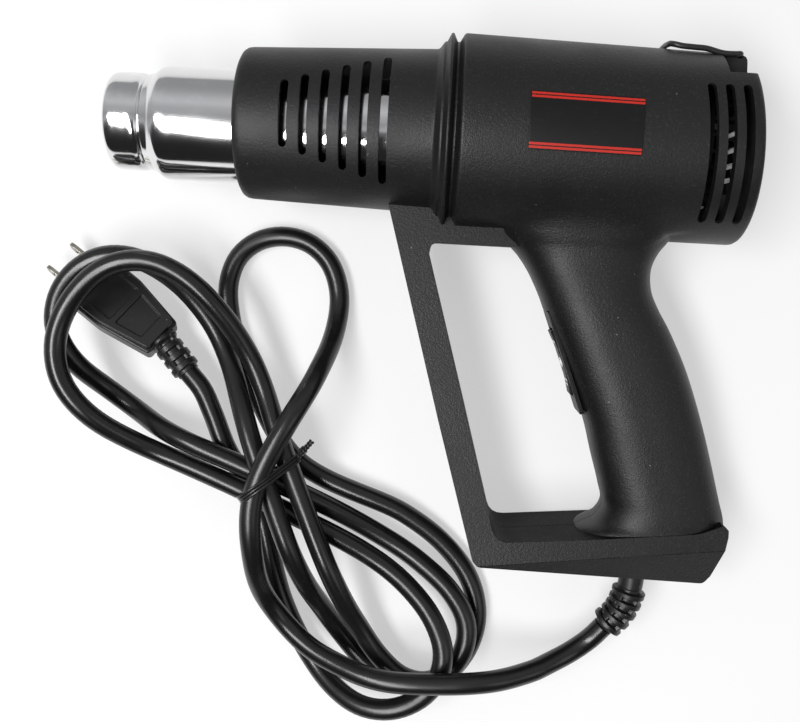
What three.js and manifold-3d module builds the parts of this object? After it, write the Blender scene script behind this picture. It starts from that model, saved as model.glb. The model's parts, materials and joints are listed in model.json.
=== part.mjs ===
// A corded hot air tool lying on its side, with its lead folded into a tied hank.
// Millimetres. Tool frame: x from the nozzle tip to the rear along the barrel axis, y up
// towards the top of the housing, z out of the near side. The whole tool is then rolled
// about its axis until the housing and the foot both touch the ground, z = 0.
import * as THREE from 'three';
import { mergeVertices } from 'three/addons/utils/BufferGeometryUtils.js';
import Module from 'manifold-3d';

const wasm = await Module();
wasm.setup();

// Sizes that drive the rest; REACH is past the whole tool on every side
const FIT = 0.3;
const REACH = 400;
const WALL = 2.5;
const ROUND = 36;

const NOZZLE_TIP_R = 17.4;
const NOZZLE_BODY_R = 19.2;
const NOZZLE_SHEET = 0.8;
const NOZZLE_END_X = 104;

const BARREL_START_X = 47;
const BARREL_START_R = 26.8;
const BARREL_END_X = 116.4;
const BARREL_END_R = 29;
const COLLAR_STEP_R = 31.6;
const COLLAR_RIDGE_R = 34.6;
const HOUSING_START_X = 125.3;
const HOUSING_FRONT_R = 34.7;
const HOUSING_REAR_R = 33.1;
const HOUSING_REAR_X = 226.4;
const REAR_LEAN = Math.tan(THREE.MathUtils.degToRad(3.6));
const LEAN_START_X = HOUSING_REAR_X - 36.4;
const LEAN_FULL_X = HOUSING_REAR_X - 23.4;

const VENT_COUNT = 6;
const VENT_START_X = 65;
const VENT_PITCH = 6.85;
const VENT_WIDTH = 2.8;
const REAR_SLOT_COUNT = 3;
const REAR_SLOT_START_X = HOUSING_REAR_X - 19.2;
const REAR_SLOT_PITCH = 5.85;
const REAR_SLOT_WIDTH = 2.9;

const GUARD_HALF_TOP = 7.6;
const GUARD_FLARE = 0.0775;
const SOLE_Y = -160;
const SOLE_REAR_HALF = 9;
const HEEL_X = 232.4;

const BAIL_PIVOT_X = HOUSING_REAR_X - 6.4;
const BAIL_PIVOT_Y = HOUSING_REAR_R - 3.1;
const BAIL_WIRE_R = 1;
const BAIL_HALF_WIDTH = 12.2;
const BAIL_REACH = 26.6;
const BAIL_LIFT = 1.08;
const LUG_HALF_WIDTH = 10.5;

const SWITCH_TOP = new THREE.Vector2(162.6, -62.3);
const SWITCH_BOTTOM = new THREE.Vector2(176.8, -98.3);
const SWITCH_WIDTH = 14;
const SWITCH_BODY_DEPTH = 17;
const BEZEL_THICK = 2.2;
const ROCKER_LENGTH = 25;
const ROCKER_WIDTH = 9;

const FAN_R = HOUSING_REAR_R - WALL - 8.6;
const FAN_VANES = 24;
const FAN_X = HOUSING_REAR_X - 12.4;
const FAN_DEPTH = 10;
const MOTOR_R = 14;
const MOTOR_START_X = FAN_X - 68;
const MOTOR_LENGTH = 40;
const SHAFT_R = 1.2;

const COIL_TURNS = 8;
const COIL_R = 14;
const COIL_WIRE_R = 0.7;

const CORD_D = 8;
const CORD_GAP = 0.6;
const RELIEF_X = 201;
const RELIEF_CORE_R = 4.6;
const RELIEF_RIB_R = 6.4;
const RELIEF_RIBS = 5;
const TIE_WIRE_R = 0.9;
const PLUG_LENGTH = 37.5;
const PLUG_FRONT_WIDTH = 24.5;
const PLUG_REAR_WIDTH = 16.6;
const PLUG_HEIGHT = 15;
const BLADE_SPACING = 12.7;
const BLADE_LENGTH = 16;

const guardHalf = (y) => GUARD_HALF_TOP - GUARD_FLARE * y;
const FOOT_CORNER_Y = -155.8;
const cornerHalf = guardHalf(FOOT_CORNER_Y);
const ROLL = Math.asin(HOUSING_FRONT_R / Math.hypot(FOOT_CORNER_Y, cornerHalf))
  - Math.atan2(cornerHalf, -FOOT_CORNER_Y);
const V2 = (x, y) => new THREE.Vector2(x, y);
const V3 = (x, y, z) => new THREE.Vector3(x, y, z);

// Materials
const paint = (color, roughness, metalness) => () =>
  new THREE.MeshStandardMaterial({ color, roughness, metalness });
const BLACK = paint(0x1b1b1c, 0.6, 0);
const SOFT_BLACK = paint(0x121213, 0.45, 0);
const CHROME = paint(0xd0d3d8, 0.12, 1);
const STEEL = paint(0x9a9da2, 0.35, 1);
const BRASS = paint(0xb9a25a, 0.3, 1);
const MICA = paint(0xb8a98a, 0.7, 0);
const CERAMIC = paint(0xe6e0d2, 0.6, 0);
const WHITE = paint(0xf0f0ee, 0.5, 0);
const BOARD = paint(0x2f6b3a, 0.6, 0);
const RED = paint(0xb02a2a, 0.5, 0);

// Solids: geometry in and out of the boolean kernel
function solid(geometry) {
  const bare = new THREE.BufferGeometry();
  bare.setAttribute('position', geometry.attributes.position.clone());
  if (geometry.index) bare.setIndex(geometry.index.clone());
  const joined = mergeVertices(bare, 1e-3);
  const position = joined.attributes.position.array;
  const corners = [];
  const index = joined.index.array;
  for (let i = 0; i < index.length; i += 3) {
    const [a, b, c] = [index[i], index[i + 1], index[i + 2]];
    if (a !== b && b !== c && a !== c) corners.push(a, b, c);
  }
  return new wasm.Manifold(new wasm.Mesh({
    numProp: 3,
    vertProperties: new Float32Array(position),
    triVerts: new Uint32Array(corners),
  }));
}

function geometryOf(manifold) {
  const mesh = manifold.getMesh();
  const points = new Float32Array(mesh.numVert * 3);
  for (let i = 0; i < mesh.numVert; i += 1) {
    for (let k = 0; k < 3; k += 1) points[3 * i + k] = mesh.vertProperties[mesh.numProp * i + k];
  }
  const geometry = new THREE.BufferGeometry();
  geometry.setAttribute('position', new THREE.BufferAttribute(points, 3));
  geometry.setIndex(new THREE.BufferAttribute(new Uint32Array(mesh.triVerts), 1));
  geometry.computeVertexNormals();
  return geometry;
}

const join = (...solids) => solids.reduce((a, b) => a.add(b));
const cut = (base, ...tools) => tools.reduce((a, b) => a.subtract(b), base);

function box(x0, x1, y0, y1, z0, z1) {
  const geometry = new THREE.BoxGeometry(x1 - x0, y1 - y0, z1 - z0);
  geometry.translate((x0 + x1) / 2, (y0 + y1) / 2, (z0 + z1) / 2);
  return solid(geometry);
}

// A turned solid about the barrel axis from [x, radius] pairs; the first and last pairs
// are on the axis, or the list is a closed ring.
function turned(pairs, segments = ROUND) {
  const geometry = new THREE.LatheGeometry(pairs.map(([x, r]) => V2(r, x)), segments);
  geometry.rotateZ(-Math.PI / 2);
  return geometry;
}
const turnedRing = (pairs, segments) => turned([...pairs, pairs[0]], segments);

// A straight round bar along z
function bar(x, y, z0, z1, radius, segments = 16) {
  const geometry = new THREE.CylinderGeometry(radius, radius, z1 - z0, segments);
  geometry.rotateX(Math.PI / 2);
  geometry.translate(x, y, (z0 + z1) / 2);
  return geometry;
}

function circleShape(radius, sides) {
  const shape = new THREE.Shape();
  for (let i = 0; i < sides; i += 1) {
    const a = (2 * Math.PI * i) / sides;
    if (i === 0) shape.moveTo(radius * Math.cos(a), radius * Math.sin(a));
    else shape.lineTo(radius * Math.cos(a), radius * Math.sin(a));
  }
  return shape;
}

function tube(points, radius, steps, sides = 8) {
  const path = new THREE.CatmullRomCurve3(points, false, 'centripetal');
  return new THREE.ExtrudeGeometry(circleShape(radius, sides), { steps, extrudePath: path });
}

function slab(points, z0, z1) {
  const geometry = new THREE.ExtrudeGeometry(new THREE.Shape(points), {
    depth: z1 - z0,
    bevelEnabled: false,
  });
  geometry.translate(0, 0, z0);
  return geometry;
}

// A slot outline with round ends, upright at x, leaning with the rear face when asked
function slotShape(x, yLow, yHigh, width, lean = 0) {
  const points = [];
  const r = width / 2;
  for (let i = 0; i <= 4; i += 1) {
    const a = (Math.PI * i) / 4;
    points.push(V2(x + r * Math.cos(a), yHigh - r + r * Math.sin(a)));
  }
  for (let i = 0; i <= 4; i += 1) {
    const a = Math.PI + (Math.PI * i) / 4;
    points.push(V2(x + r * Math.cos(a), yLow + r + r * Math.sin(a)));
  }
  return points.map((p) => V2(p.x - lean * p.y, p.y));
}

// Outer radius of the barrel and the housing
function housingR(x) {
  const t = (x - HOUSING_START_X) / (HOUSING_REAR_X - HOUSING_START_X);
  return HOUSING_FRONT_R + (HOUSING_REAR_R - HOUSING_FRONT_R) * t;
}
function barrelR(x) {
  const t = (x - BARREL_START_X) / (BARREL_END_X - BARREL_START_X);
  return BARREL_START_R + (BARREL_END_R - BARREL_START_R) * t;
}

// The rear face leans, so the rear of the housing is sheared along x
function leanRear(geometry) {
  const p = geometry.attributes.position;
  for (let i = 0; i < p.count; i += 1) {
    const t = (p.getX(i) - LEAN_START_X) / (LEAN_FULL_X - LEAN_START_X);
    p.setX(i, p.getX(i) - REAR_LEAN * p.getY(i) * Math.min(Math.max(t, 0), 1));
  }
  return geometry;
}

function bodyOuter() {
  const x0 = BARREL_START_X;
  const x1 = BARREL_END_X;
  const h0 = HOUSING_START_X;
  const rear = HOUSING_REAR_X;
  const chamfer = 1.8;
  return solid(leanRear(turned([
    [x0, 0],
    [x0, BARREL_START_R - 3.4],
    [x0 + 0.9, BARREL_START_R - 1.5],
    [x0 + 2.4, BARREL_START_R - 0.3],
    [x0 + 4, barrelR(x0 + 4)],
    [x1, BARREL_END_R],
    [x1 + 1.9, COLLAR_STEP_R],
    [x1 + 2.6, COLLAR_STEP_R],
    [x1 + 4.1, COLLAR_RIDGE_R],
    [x1 + 4.9, COLLAR_RIDGE_R],
    [x1 + 6.3, COLLAR_STEP_R],
    [x1 + 7.1, COLLAR_STEP_R],
    [h0, HOUSING_FRONT_R],
    [LEAN_START_X, housingR(LEAN_START_X)],
    [LEAN_FULL_X, housingR(LEAN_FULL_X)],
    [rear - chamfer, HOUSING_REAR_R],
    [rear - chamfer * 0.35, HOUSING_REAR_R - chamfer * 0.35],
    [rear, HOUSING_REAR_R - chamfer],
    [rear, 0],
  ])));
}

function bodyCavity() {
  const x0 = BARREL_START_X + 4;
  const x1 = BARREL_END_X;
  const rear = HOUSING_REAR_X - WALL;
  return solid(leanRear(turned([
    [x0, 0],
    [x0, barrelR(x0) - WALL],
    [x1, BARREL_END_R - WALL],
    [x1 + 4, COLLAR_STEP_R - WALL],
    [HOUSING_START_X, COLLAR_STEP_R - WALL],
    [HOUSING_START_X + 3, housingR(HOUSING_START_X + 3) - WALL],
    [LEAN_START_X, housingR(LEAN_START_X) - WALL],
    [LEAN_FULL_X, housingR(LEAN_FULL_X) - WALL],
    [rear, HOUSING_REAR_R - WALL],
    [rear, 0],
  ])));
}

// Grip: front point, rear point and half width of each section from the housing down
const GRIP = [
  [[139, -24], [206, -24], 21],
  [[141, -34], [203, -34], 20],
  [[145.4, -38.6], [199.4, -39.4], 18.6],
  [[149.4, -42.6], [197.4, -45], 18],
  [[153.6, -48.4], [198, -52.4], 17.8],
  [[157.8, -56.2], [201, -59], 17.8],
  [[161.2, -64], [205.6, -66.4], 17.8],
  [[167.2, -77], [212.4, -79.4], 17.8],
  [[173, -90], [217.4, -91.5], 17.8],
  [[178.4, -103], [222.2, -105], 17.8],
  [[182, -115], [226, -117], 17.8],
  [[185.8, -127], [229.4, -128.4], 18],
  [[187.2, -133.4], [231.2, -134], 18.2],
  [[184.4, -138.6], [232, -138.2], 18.2],
  [[178, -142.6], [232, -142.4], 18],
  [[178, -148], [230.4, -148], 15],
];
const GRIP_POWER = 2.7;

function gripLoft(inset, sections) {
  const sides = 28;
  const points = [];
  const index = [];
  const power = (v) => Math.sign(v) * Math.abs(v) ** (2 / GRIP_POWER);
  for (const [front, rear, half] of sections) {
    const along = V2(rear[0] - front[0], rear[1] - front[1]);
    const reach = along.length() / 2 - inset;
    along.normalize();
    const mid = V2((front[0] + rear[0]) / 2, (front[1] + rear[1]) / 2);
    for (let i = 0; i < sides; i += 1) {
      const a = (2 * Math.PI * i) / sides;
      const u = reach * power(Math.cos(a));
      const w = (half - inset) * power(Math.sin(a));
      points.push(mid.x + along.x * u, mid.y + along.y * u, w);
    }
  }
  const rings = sections.length;
  for (let r = 0; r + 1 < rings; r += 1) {
    for (let i = 0; i < sides; i += 1) {
      const j = (i + 1) % sides;
      const [a, b, c, d] = [r * sides + i, r * sides + j, (r + 1) * sides + i, (r + 1) * sides + j];
      index.push(a, b, c, b, d, c);
    }
  }
  for (let i = 1; i + 1 < sides; i += 1) {
    const last = (rings - 1) * sides;
    index.push(0, i + 1, i);
    index.push(last, last + i, last + i + 1);
  }
  const geometry = new THREE.BufferGeometry();
  geometry.setAttribute('position', new THREE.Float32BufferAttribute(points, 3));
  geometry.setIndex(index);
  return solid(geometry);
}

function gripCavity() {
  const top = [[GRIP[0][0][0], -12], [GRIP[0][1][0], -12], GRIP[0][2]];
  const low = GRIP.slice(0, -1);
  const [front, rear, half] = GRIP[GRIP.length - 2];
  const floor = SOLE_Y + 2 * WALL;
  low.push([[front[0] + 6, floor], [rear[0] - 6, floor], half - 4]);
  return gripLoft(WALL, [top, ...low]);
}

// Guard strap and foot: one outline with a width that grows towards the foot
function guardOutline() {
  return [
    V2(98, -4), V2(101.3, -27.2), V2(123.4, -102.8), V2(138.6, -152.4), V2(139.4, -154.3),
    V2(141.2, -155.8), V2(226, SOLE_Y), V2(227.5, -157), V2(HEEL_X, -141.6),
    V2(HEEL_X, -136.5), V2(231.4, -135.2), V2(229.2, -135.5), V2(219.4, -138.3),
    V2(184.1, -142.4), V2(155.4, -145.4), V2(151.6, -144.9), V2(148.4, -142.9),
    V2(146.4, -139.8), V2(142.1, -131), V2(133.9, -102.2), V2(116.6, -43.6), V2(116.4, -41.6),
    V2(117.3, -40.2), V2(118.9, -39.7), V2(152, -39.8), V2(152, -4),
  ];
}

function guard() {
  const outline = guardOutline().reverse();
  const geometry = slab(outline, -1, 1);
  const p = geometry.attributes.position;
  for (let i = 0; i < p.count; i += 1) p.setZ(i, p.getZ(i) * guardHalf(p.getY(i)));
  return solid(geometry);
}

// The foot's lower side corners are cut by a plane that starts at the front corner
function footChamfer(side) {
  const front = V3(140.6, -155.2, guardHalf(-155.2));
  const rear = V3(HEEL_X - 5.9, -144, guardHalf(-144));
  const sole = V3(HEEL_X - 6.4, SOLE_Y, SOLE_REAR_HALF);
  const along = rear.clone().sub(front).normalize();
  const down = sole.clone().sub(rear);
  down.addScaledVector(along, -down.dot(along)).normalize();
  const out = along.clone().cross(down).normalize();
  if (out.z < 0) out.negate();
  const frame = new THREE.Matrix4().makeBasis(along, down, along.clone().cross(down).normalize());
  const depth = out.dot(along.clone().cross(down)) > 0 ? 1 : -1;
  const geometry = new THREE.BoxGeometry(REACH, 120, 40);
  geometry.translate(0, 0, 20 * depth);
  geometry.applyMatrix4(frame);
  geometry.translate(rear.x, rear.y, rear.z);
  const tool = solid(geometry);
  return side > 0 ? tool : tool.mirror([0, 0, 1]);
}

// Shell screws: x, y and the height of the head's seat on the far side
const SCREWS = [
  [136, 25.5, -14], [HOUSING_REAR_X - 27.4, 24.5, -14], [112.5, -33.5, -6], [FAN_X - 24, -25.5, -14],
  [127, -103, -9], [145, -150.6, -12], [217, -121, -9],
];
const SCREW_R = 1.5;
const HEAD_R = 3.1;
const BOSS_R = 4.4;
const SCREW_TIP_Z = 7;

function vents() {
  const tools = [];
  for (let i = 0; i < VENT_COUNT; i += 1) {
    const t = i / (VENT_COUNT - 1);
    const x = VENT_START_X + VENT_PITCH * i;
    const high = barrelR(x) * Math.sin(THREE.MathUtils.degToRad(26.8 + 24.7 * t));
    const low = -barrelR(x) * Math.sin(THREE.MathUtils.degToRad(21.8 + 24.3 * t));
    tools.push(solid(slab(slotShape(x, low, high, VENT_WIDTH), -40, 40)));
  }
  return join(...tools);
}

function rearSlots() {
  const tools = [];
  for (let i = 0; i < REAR_SLOT_COUNT; i += 1) {
    const x = REAR_SLOT_START_X + REAR_SLOT_PITCH * i;
    const high = HOUSING_REAR_R * Math.sin(THREE.MathUtils.degToRad(30.5));
    const low = -HOUSING_REAR_R * Math.sin(THREE.MathUtils.degToRad(58));
    tools.push(solid(slab(slotShape(x, low, high, REAR_SLOT_WIDTH, REAR_LEAN), -40, 40)));
  }
  return join(...tools);
}

// The switch is built along its own axes: u down the grip, n out of the grip, z across
const switchMid = SWITCH_TOP.clone().add(SWITCH_BOTTOM).multiplyScalar(0.5);
const switchLength = SWITCH_TOP.distanceTo(SWITCH_BOTTOM);
const switchDown = SWITCH_BOTTOM.clone().sub(SWITCH_TOP).normalize();
function atSwitch(geometry) {
  const u = V3(switchDown.x, switchDown.y, 0);
  const n = V3(switchDown.y, -switchDown.x, 0);
  geometry.applyMatrix4(new THREE.Matrix4().makeBasis(u, n, V3(0, 0, -1)));
  geometry.translate(switchMid.x, switchMid.y, 0);
  return geometry;
}
function switchBox(u0, u1, n0, n1, halfWidth) {
  const geometry = new THREE.BoxGeometry(u1 - u0, n1 - n0, 2 * halfWidth);
  geometry.translate((u0 + u1) / 2, (n0 + n1) / 2, 0);
  return solid(atSwitch(geometry));
}

function screwHoles() {
  return join(...SCREWS.flatMap(([x, y, seat]) => [
    solid(bar(x, y, seat - 1, SCREW_TIP_Z + 1, SCREW_R + FIT, 8)),
    solid(bar(x, y, -60, seat, HEAD_R + FIT, 14)),
  ]));
}

function shells() {
  const outer = join(bodyOuter(), cut(guard(), footChamfer(1), footChamfer(-1)), gripLoft(0, GRIP));
  const lugRoom = box(BAIL_PIVOT_X - 9.5, REACH, BAIL_PIVOT_Y - 7.4, REACH, -REACH, REACH);
  const hollow = join(cut(bodyCavity(), lugRoom), gripCavity());
  const bossBars = SCREWS.map(([x, y]) => solid(bar(x, y, -60, 60, BOSS_R, 12)));
  const bosses = join(...bossBars).intersect(outer);
  const half = switchLength / 2;
  const posts = clampBosses().intersect(outer);
  const pocket = box(BAIL_PIVOT_X - 7, REACH, BAIL_PIVOT_Y - 6, REACH, LUG_HALF_WIDTH, REACH);
  const whole = cut(
    join(cut(outer, hollow), bosses, posts),
    screwHoles(),
    clampHole(-1),
    clampHole(1),
    vents(),
    rearSlots(),
    solid(turned([[20, 0], [20, NOZZLE_BODY_R + 0.5], [60, NOZZLE_BODY_R + 0.5], [60, 0]])),
    pocket,
    pocket.mirror([0, 0, 1]),
    solid(bar(BAIL_PIVOT_X, BAIL_PIVOT_Y, -40, 40, BAIL_WIRE_R + FIT, 16)),
    switchBox(-half - 1, half + 1, -0.4, 30, SWITCH_WIDTH / 2 + 1.2),
    switchBox(-half + 2, half - 2, -30, 30, SWITCH_WIDTH / 2 - 0.6),
    solid(reliefBar(RELIEF_CORE_R + 1 + FIT, SOLE_Y - 20, SOLE_Y + 2 * WALL + 1)),
  );
  const near = box(-REACH, REACH, -REACH, REACH, FIT / 2, REACH);
  const far = box(-REACH, REACH, -REACH, REACH, -REACH, -FIT / 2);
  return [whole.intersect(near), whole.intersect(far)];
}

function reliefBar(radius, y0, y1) {
  const geometry = new THREE.CylinderGeometry(radius, radius, y1 - y0, 12);
  geometry.translate(RELIEF_X, (y0 + y1) / 2, 0);
  return geometry;
}

function shellScrew(x, y, seat) {
  const reach = SCREW_TIP_Z - seat;
  const geometry = new THREE.LatheGeometry([
    V2(0, -2.2), V2(HEAD_R - 0.7, -2.2), V2(HEAD_R, -1.5), V2(HEAD_R, 0 - FIT),
    V2(SCREW_R, 0 - FIT), V2(SCREW_R, reach - 2), V2(0.4, reach), V2(0, reach),
  ], 10);
  geometry.rotateX(Math.PI / 2);
  geometry.translate(x, y, seat);
  return geometry;
}

// Hot end
function nozzleTube() {
  const tip = NOZZLE_TIP_R;
  const body = NOZZLE_BODY_R;
  const t = NOZZLE_SHEET;
  const end = NOZZLE_END_X;
  return turnedRing([
    [0.9, tip - 1.7], [0.2, tip - 1.2], [0, tip - 0.6], [0.3, tip - 0.1], [1, tip], [12.4, tip],
    [13.2, tip - 0.5], [14, tip], [15.8, tip], [18.6, tip + 1], [22, body], [end, body],
    [end, body + 4], [end + t, body + 4], [end + t, body - t], [22.4, body - t], [18.4, tip + 1 - t],
    [15.6, tip - t], [1.6, tip - t],
  ]);
}

function micaSleeve() {
  const outer = NOZZLE_BODY_R - NOZZLE_SHEET - FIT;
  const inner = outer - 0.7;
  const x0 = 34;
  const x1 = NOZZLE_END_X - 2;
  return turnedRing([[x0, outer], [x1, outer], [x1, inner], [x0, inner]]);
}

const FORMER_HALF = COIL_R - COIL_WIRE_R - FIT;
function heaterFormer() {
  const x0 = 38;
  const x1 = NOZZLE_END_X + NOZZLE_SHEET;
  const flat = box(x0, x1, -FORMER_HALF, FORMER_HALF, -0.6, 0.6);
  const upright = box(x0, x1, -0.6, 0.6, -FORMER_HALF, FORMER_HALF);
  return geometryOf(join(flat, upright));
}

function heaterCoil() {
  const points = [];
  const steps = COIL_TURNS * 14;
  const x0 = 42;
  const x1 = NOZZLE_END_X - 10;
  for (let i = 0; i <= steps; i += 1) {
    const a = (2 * Math.PI * COIL_TURNS * i) / steps;
    const x = x0 + ((x1 - x0) * i) / steps;
    points.push(V3(x, COIL_R * Math.cos(a), COIL_R * Math.sin(a)));
  }
  return tube(points, COIL_WIRE_R, steps, 5);
}

function heaterHolder() {
  const x0 = NOZZLE_END_X + NOZZLE_SHEET + FIT;
  return turnedRing([[x0, 5], [x0, NOZZLE_BODY_R + 3], [x0 + 4, NOZZLE_BODY_R + 3], [x0 + 4, 5]]);
}

function nozzleClamp() {
  const x0 = NOZZLE_END_X + NOZZLE_SHEET + FIT;
  const inner = NOZZLE_BODY_R + 3 + FIT;
  const outer = barrelR(x0) - WALL - FIT;
  return turnedRing([[x0, inner], [x0, outer], [x0 + 4, outer], [x0 + 4, inner]]);
}

function thermalCutout() {
  const x0 = NOZZLE_END_X + NOZZLE_SHEET + 4 + 2 * FIT;
  return geometryOf(box(x0, x0 + 5, 9, 17, -4, 4));
}

// Motor, fan and board
const MOTOR_END_X = MOTOR_START_X + MOTOR_LENGTH;
function motorCan() {
  const lip = MOTOR_R - 1.2;
  return turned([
    [MOTOR_START_X, 0], [MOTOR_START_X, lip], [MOTOR_START_X + 1.2, MOTOR_R],
    [MOTOR_END_X - 1.2, MOTOR_R], [MOTOR_END_X, lip], [MOTOR_END_X, 0],
  ], 32);
}

function motorEndCap() {
  const x1 = MOTOR_START_X - FIT;
  const r = MOTOR_R - 2;
  return turned([[x1 - 6, 0], [x1 - 6, 6], [x1 - 3, 7], [x1 - 3, r], [x1, r], [x1, 0]], 24);
}

function motorMount() {
  const x0 = MOTOR_END_X - 8;
  const outer = housingR(x0 + 4) - WALL - FIT;
  const inner = MOTOR_R + FIT;
  const hoop = (r0, r1) => solid(turnedRing([[x0, r0], [x0, r1], [x0 + 4, r1], [x0 + 4, r0]], 36));
  const ring = hoop(outer - 1.6, outer);
  const band = hoop(inner, inner + 1.8);
  const spokes = [];
  for (let i = 0; i < 6; i += 1) {
    const geometry = new THREE.BoxGeometry(4, outer - inner - 1, 2.4);
    geometry.translate(x0 + 2, (outer + inner) / 2, 0);
    geometry.rotateX((Math.PI * (2 * i + 1)) / 6);
    spokes.push(solid(geometry));
  }
  const screwRoom = SCREWS.map(([x, y]) => solid(bar(x, y, -60, 60, BOSS_R + FIT, 16)));
  return geometryOf(cut(join(ring, band, ...spokes), ...screwRoom));
}

function motorShaft() {
  const x1 = FAN_X + FAN_DEPTH - 1;
  return turned([[MOTOR_END_X + FIT, 0], [MOTOR_END_X + FIT, SHAFT_R], [x1, SHAFT_R], [x1, 0]], 16);
}

function fanImpeller() {
  const x0 = FAN_X - FAN_DEPTH / 2;
  const x1 = FAN_X + FAN_DEPTH / 2;
  const bore = SHAFT_R + FIT;
  const hub = solid(turnedRing([[x0, bore], [x0, 5], [x1, 5], [x1, bore]], 20));
  const disc = solid(turnedRing([[x0, 4], [x0, FAN_R], [x0 + 1.4, FAN_R], [x0 + 1.4, 4]], FAN_VANES * 2));
  const vanes = [];
  for (let i = 0; i < FAN_VANES; i += 1) {
    const geometry = new THREE.BoxGeometry(FAN_DEPTH - 0.6, 8, 1.4);
    geometry.rotateY(0.4);
    geometry.translate(FAN_X + 0.3, FAN_R - 4.6, 0);
    geometry.rotateX((2 * Math.PI * i) / FAN_VANES);
    vanes.push(solid(geometry));
  }
  const trim = box(x0, x1 + 1, -60, 60, -60, 60);
  return geometryOf(join(hub, disc, ...vanes).intersect(trim));
}

function rectifierBoard() {
  const x1 = MOTOR_START_X - 6 - 2 * FIT;
  return geometryOf(join(
    box(x1 - 1.6, x1, -11, 11, -13, 13),
    box(x1 - 6.6, x1 - 1.2, -6, 6, -7, 7),
  ));
}

// Switch
function switchBody() {
  const half = switchLength / 2;
  const w = SWITCH_WIDTH / 2;
  const body = switchBox(-half + 2.4, half - 2.4, -SWITCH_BODY_DEPTH, 0.4, w - 1);
  const bezel = switchBox(-half - 0.6, half + 0.6, 0, BEZEL_THICK, w + 0.8);
  const room = ROCKER_LENGTH / 2 + 0.8;
  const well = switchBox(-room, room, -5.4, 20, ROCKER_WIDTH / 2 + FIT);
  return geometryOf(cut(join(body, bezel), well));
}

function switchRocker() {
  const half = ROCKER_LENGTH / 2;
  const outline = [
    V2(-half, 3.4), V2(-half, -0.6), V2(-4, -3.2), V2(4, -3.2), V2(half, -0.6), V2(half, 3.4),
    V2(half - 6, 2.2), V2(4, 1.8), V2(-4, 1.8), V2(-half + 6, 2.2),
  ];
  return atSwitch(slab(outline, -ROCKER_WIDTH / 2, ROCKER_WIDTH / 2));
}

// Wire bail on the lug at the top of the rear; its two ends meet inside the lug
function hangBail() {
  const frontY = housingR(BAIL_PIVOT_X - BAIL_REACH) + BAIL_WIRE_R + BAIL_LIFT;
  const rise = frontY - BAIL_PIVOT_Y;
  const side = BAIL_HALF_WIDTH;
  const route = [
    [0, 0, 0.6], [0, 0, side - 2], [0.6, 0.07, side - 0.5], [2, 0.23, side], [6, 0.63, side],
    [12.5, 0.86, side], [20, 0.85, side - 0.2], [BAIL_REACH - 1.6, 0.95, side - 1.6],
    [BAIL_REACH - 0.2, 0.98, side - 4], [BAIL_REACH, 1, 3],
  ].map(([back, share, z]) => V3(BAIL_PIVOT_X - back, BAIL_PIVOT_Y + share * rise, z));
  const back = route.map((p) => V3(p.x, p.y, -p.z)).reverse();
  return tube([...route, ...back], BAIL_WIRE_R, 44, 6);
}

const PLATE = { x0: 147.7, x1: 184.5, top: 19.7, bottom: -13.2, thick: 0.5 };
function nameplate() {
  const steps = 10;
  const points = [];
  const index = [];
  for (let i = 0; i <= steps; i += 1) {
    const a = THREE.MathUtils.degToRad(PLATE.bottom + ((PLATE.top - PLATE.bottom) * i) / steps);
    const top = PLATE.thick + FIT;
    for (const [x, lift] of [[PLATE.x0, FIT], [PLATE.x1, FIT], [PLATE.x1, top], [PLATE.x0, top]]) {
      const r = housingR(x) + lift;
      points.push(x, r * Math.sin(a), r * Math.cos(a));
    }
  }
  for (let i = 0; i < steps; i += 1) {
    for (let k = 0; k < 4; k += 1) {
      const [a, b] = [4 * i + k, 4 * i + ((k + 1) % 4)];
      index.push(a, a + 4, b, b, a + 4, b + 4);
    }
  }
  const last = 4 * steps;
  index.push(0, 1, 2, 0, 2, 3, last, last + 2, last + 1, last, last + 3, last + 2);
  const geometry = new THREE.BufferGeometry();
  geometry.setAttribute('position', new THREE.Float32BufferAttribute(points, 3));
  geometry.setIndex(index);
  return geometry;
}

// Strain relief: a flange inside the sole, a plain collar and ribs on a curved core
const RELIEF_ROUTE = [
  [RELIEF_X, SOLE_Y + 2 * WALL, 0], [RELIEF_X, SOLE_Y - 2, 0], [RELIEF_X - 0.8, SOLE_Y - 9, -0.3],
  [RELIEF_X - 3.6, SOLE_Y - 16.8, -1], [RELIEF_X - 8.6, SOLE_Y - 23.2, -2],
].map(([x, y, z]) => V3(x, y, z));
const reliefPath = new THREE.CatmullRomCurve3(RELIEF_ROUTE, false, 'centripetal');

function discOn(path, t, radius, thick) {
  const geometry = new THREE.CylinderGeometry(radius, radius, thick, 12);
  const turn = new THREE.Quaternion().setFromUnitVectors(V3(0, 1, 0), path.getTangentAt(t));
  geometry.applyQuaternion(turn);
  const at = path.getPointAt(t);
  geometry.translate(at.x, at.y, at.z);
  return solid(geometry);
}

function strainRelief() {
  const core = solid(tube(RELIEF_ROUTE, RELIEF_CORE_R, 10, 12));
  const collar = solid(reliefBar(RELIEF_CORE_R + 1, SOLE_Y - 6, SOLE_Y + 2 * WALL));
  const flange = solid(reliefBar(RELIEF_RIB_R + 1.6, SOLE_Y + 2 * WALL + FIT, SOLE_Y + 2 * WALL + 3));
  const neck = solid(reliefBar(RELIEF_CORE_R, SOLE_Y, SOLE_Y + 2 * WALL + 1));
  const ribs = [];
  for (let i = 0; i < RELIEF_RIBS; i += 1) ribs.push(discOn(reliefPath, 0.44 + 0.125 * i, RELIEF_RIB_R, 2));
  return geometryOf(join(core, collar, flange, neck, ...ribs));
}

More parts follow.
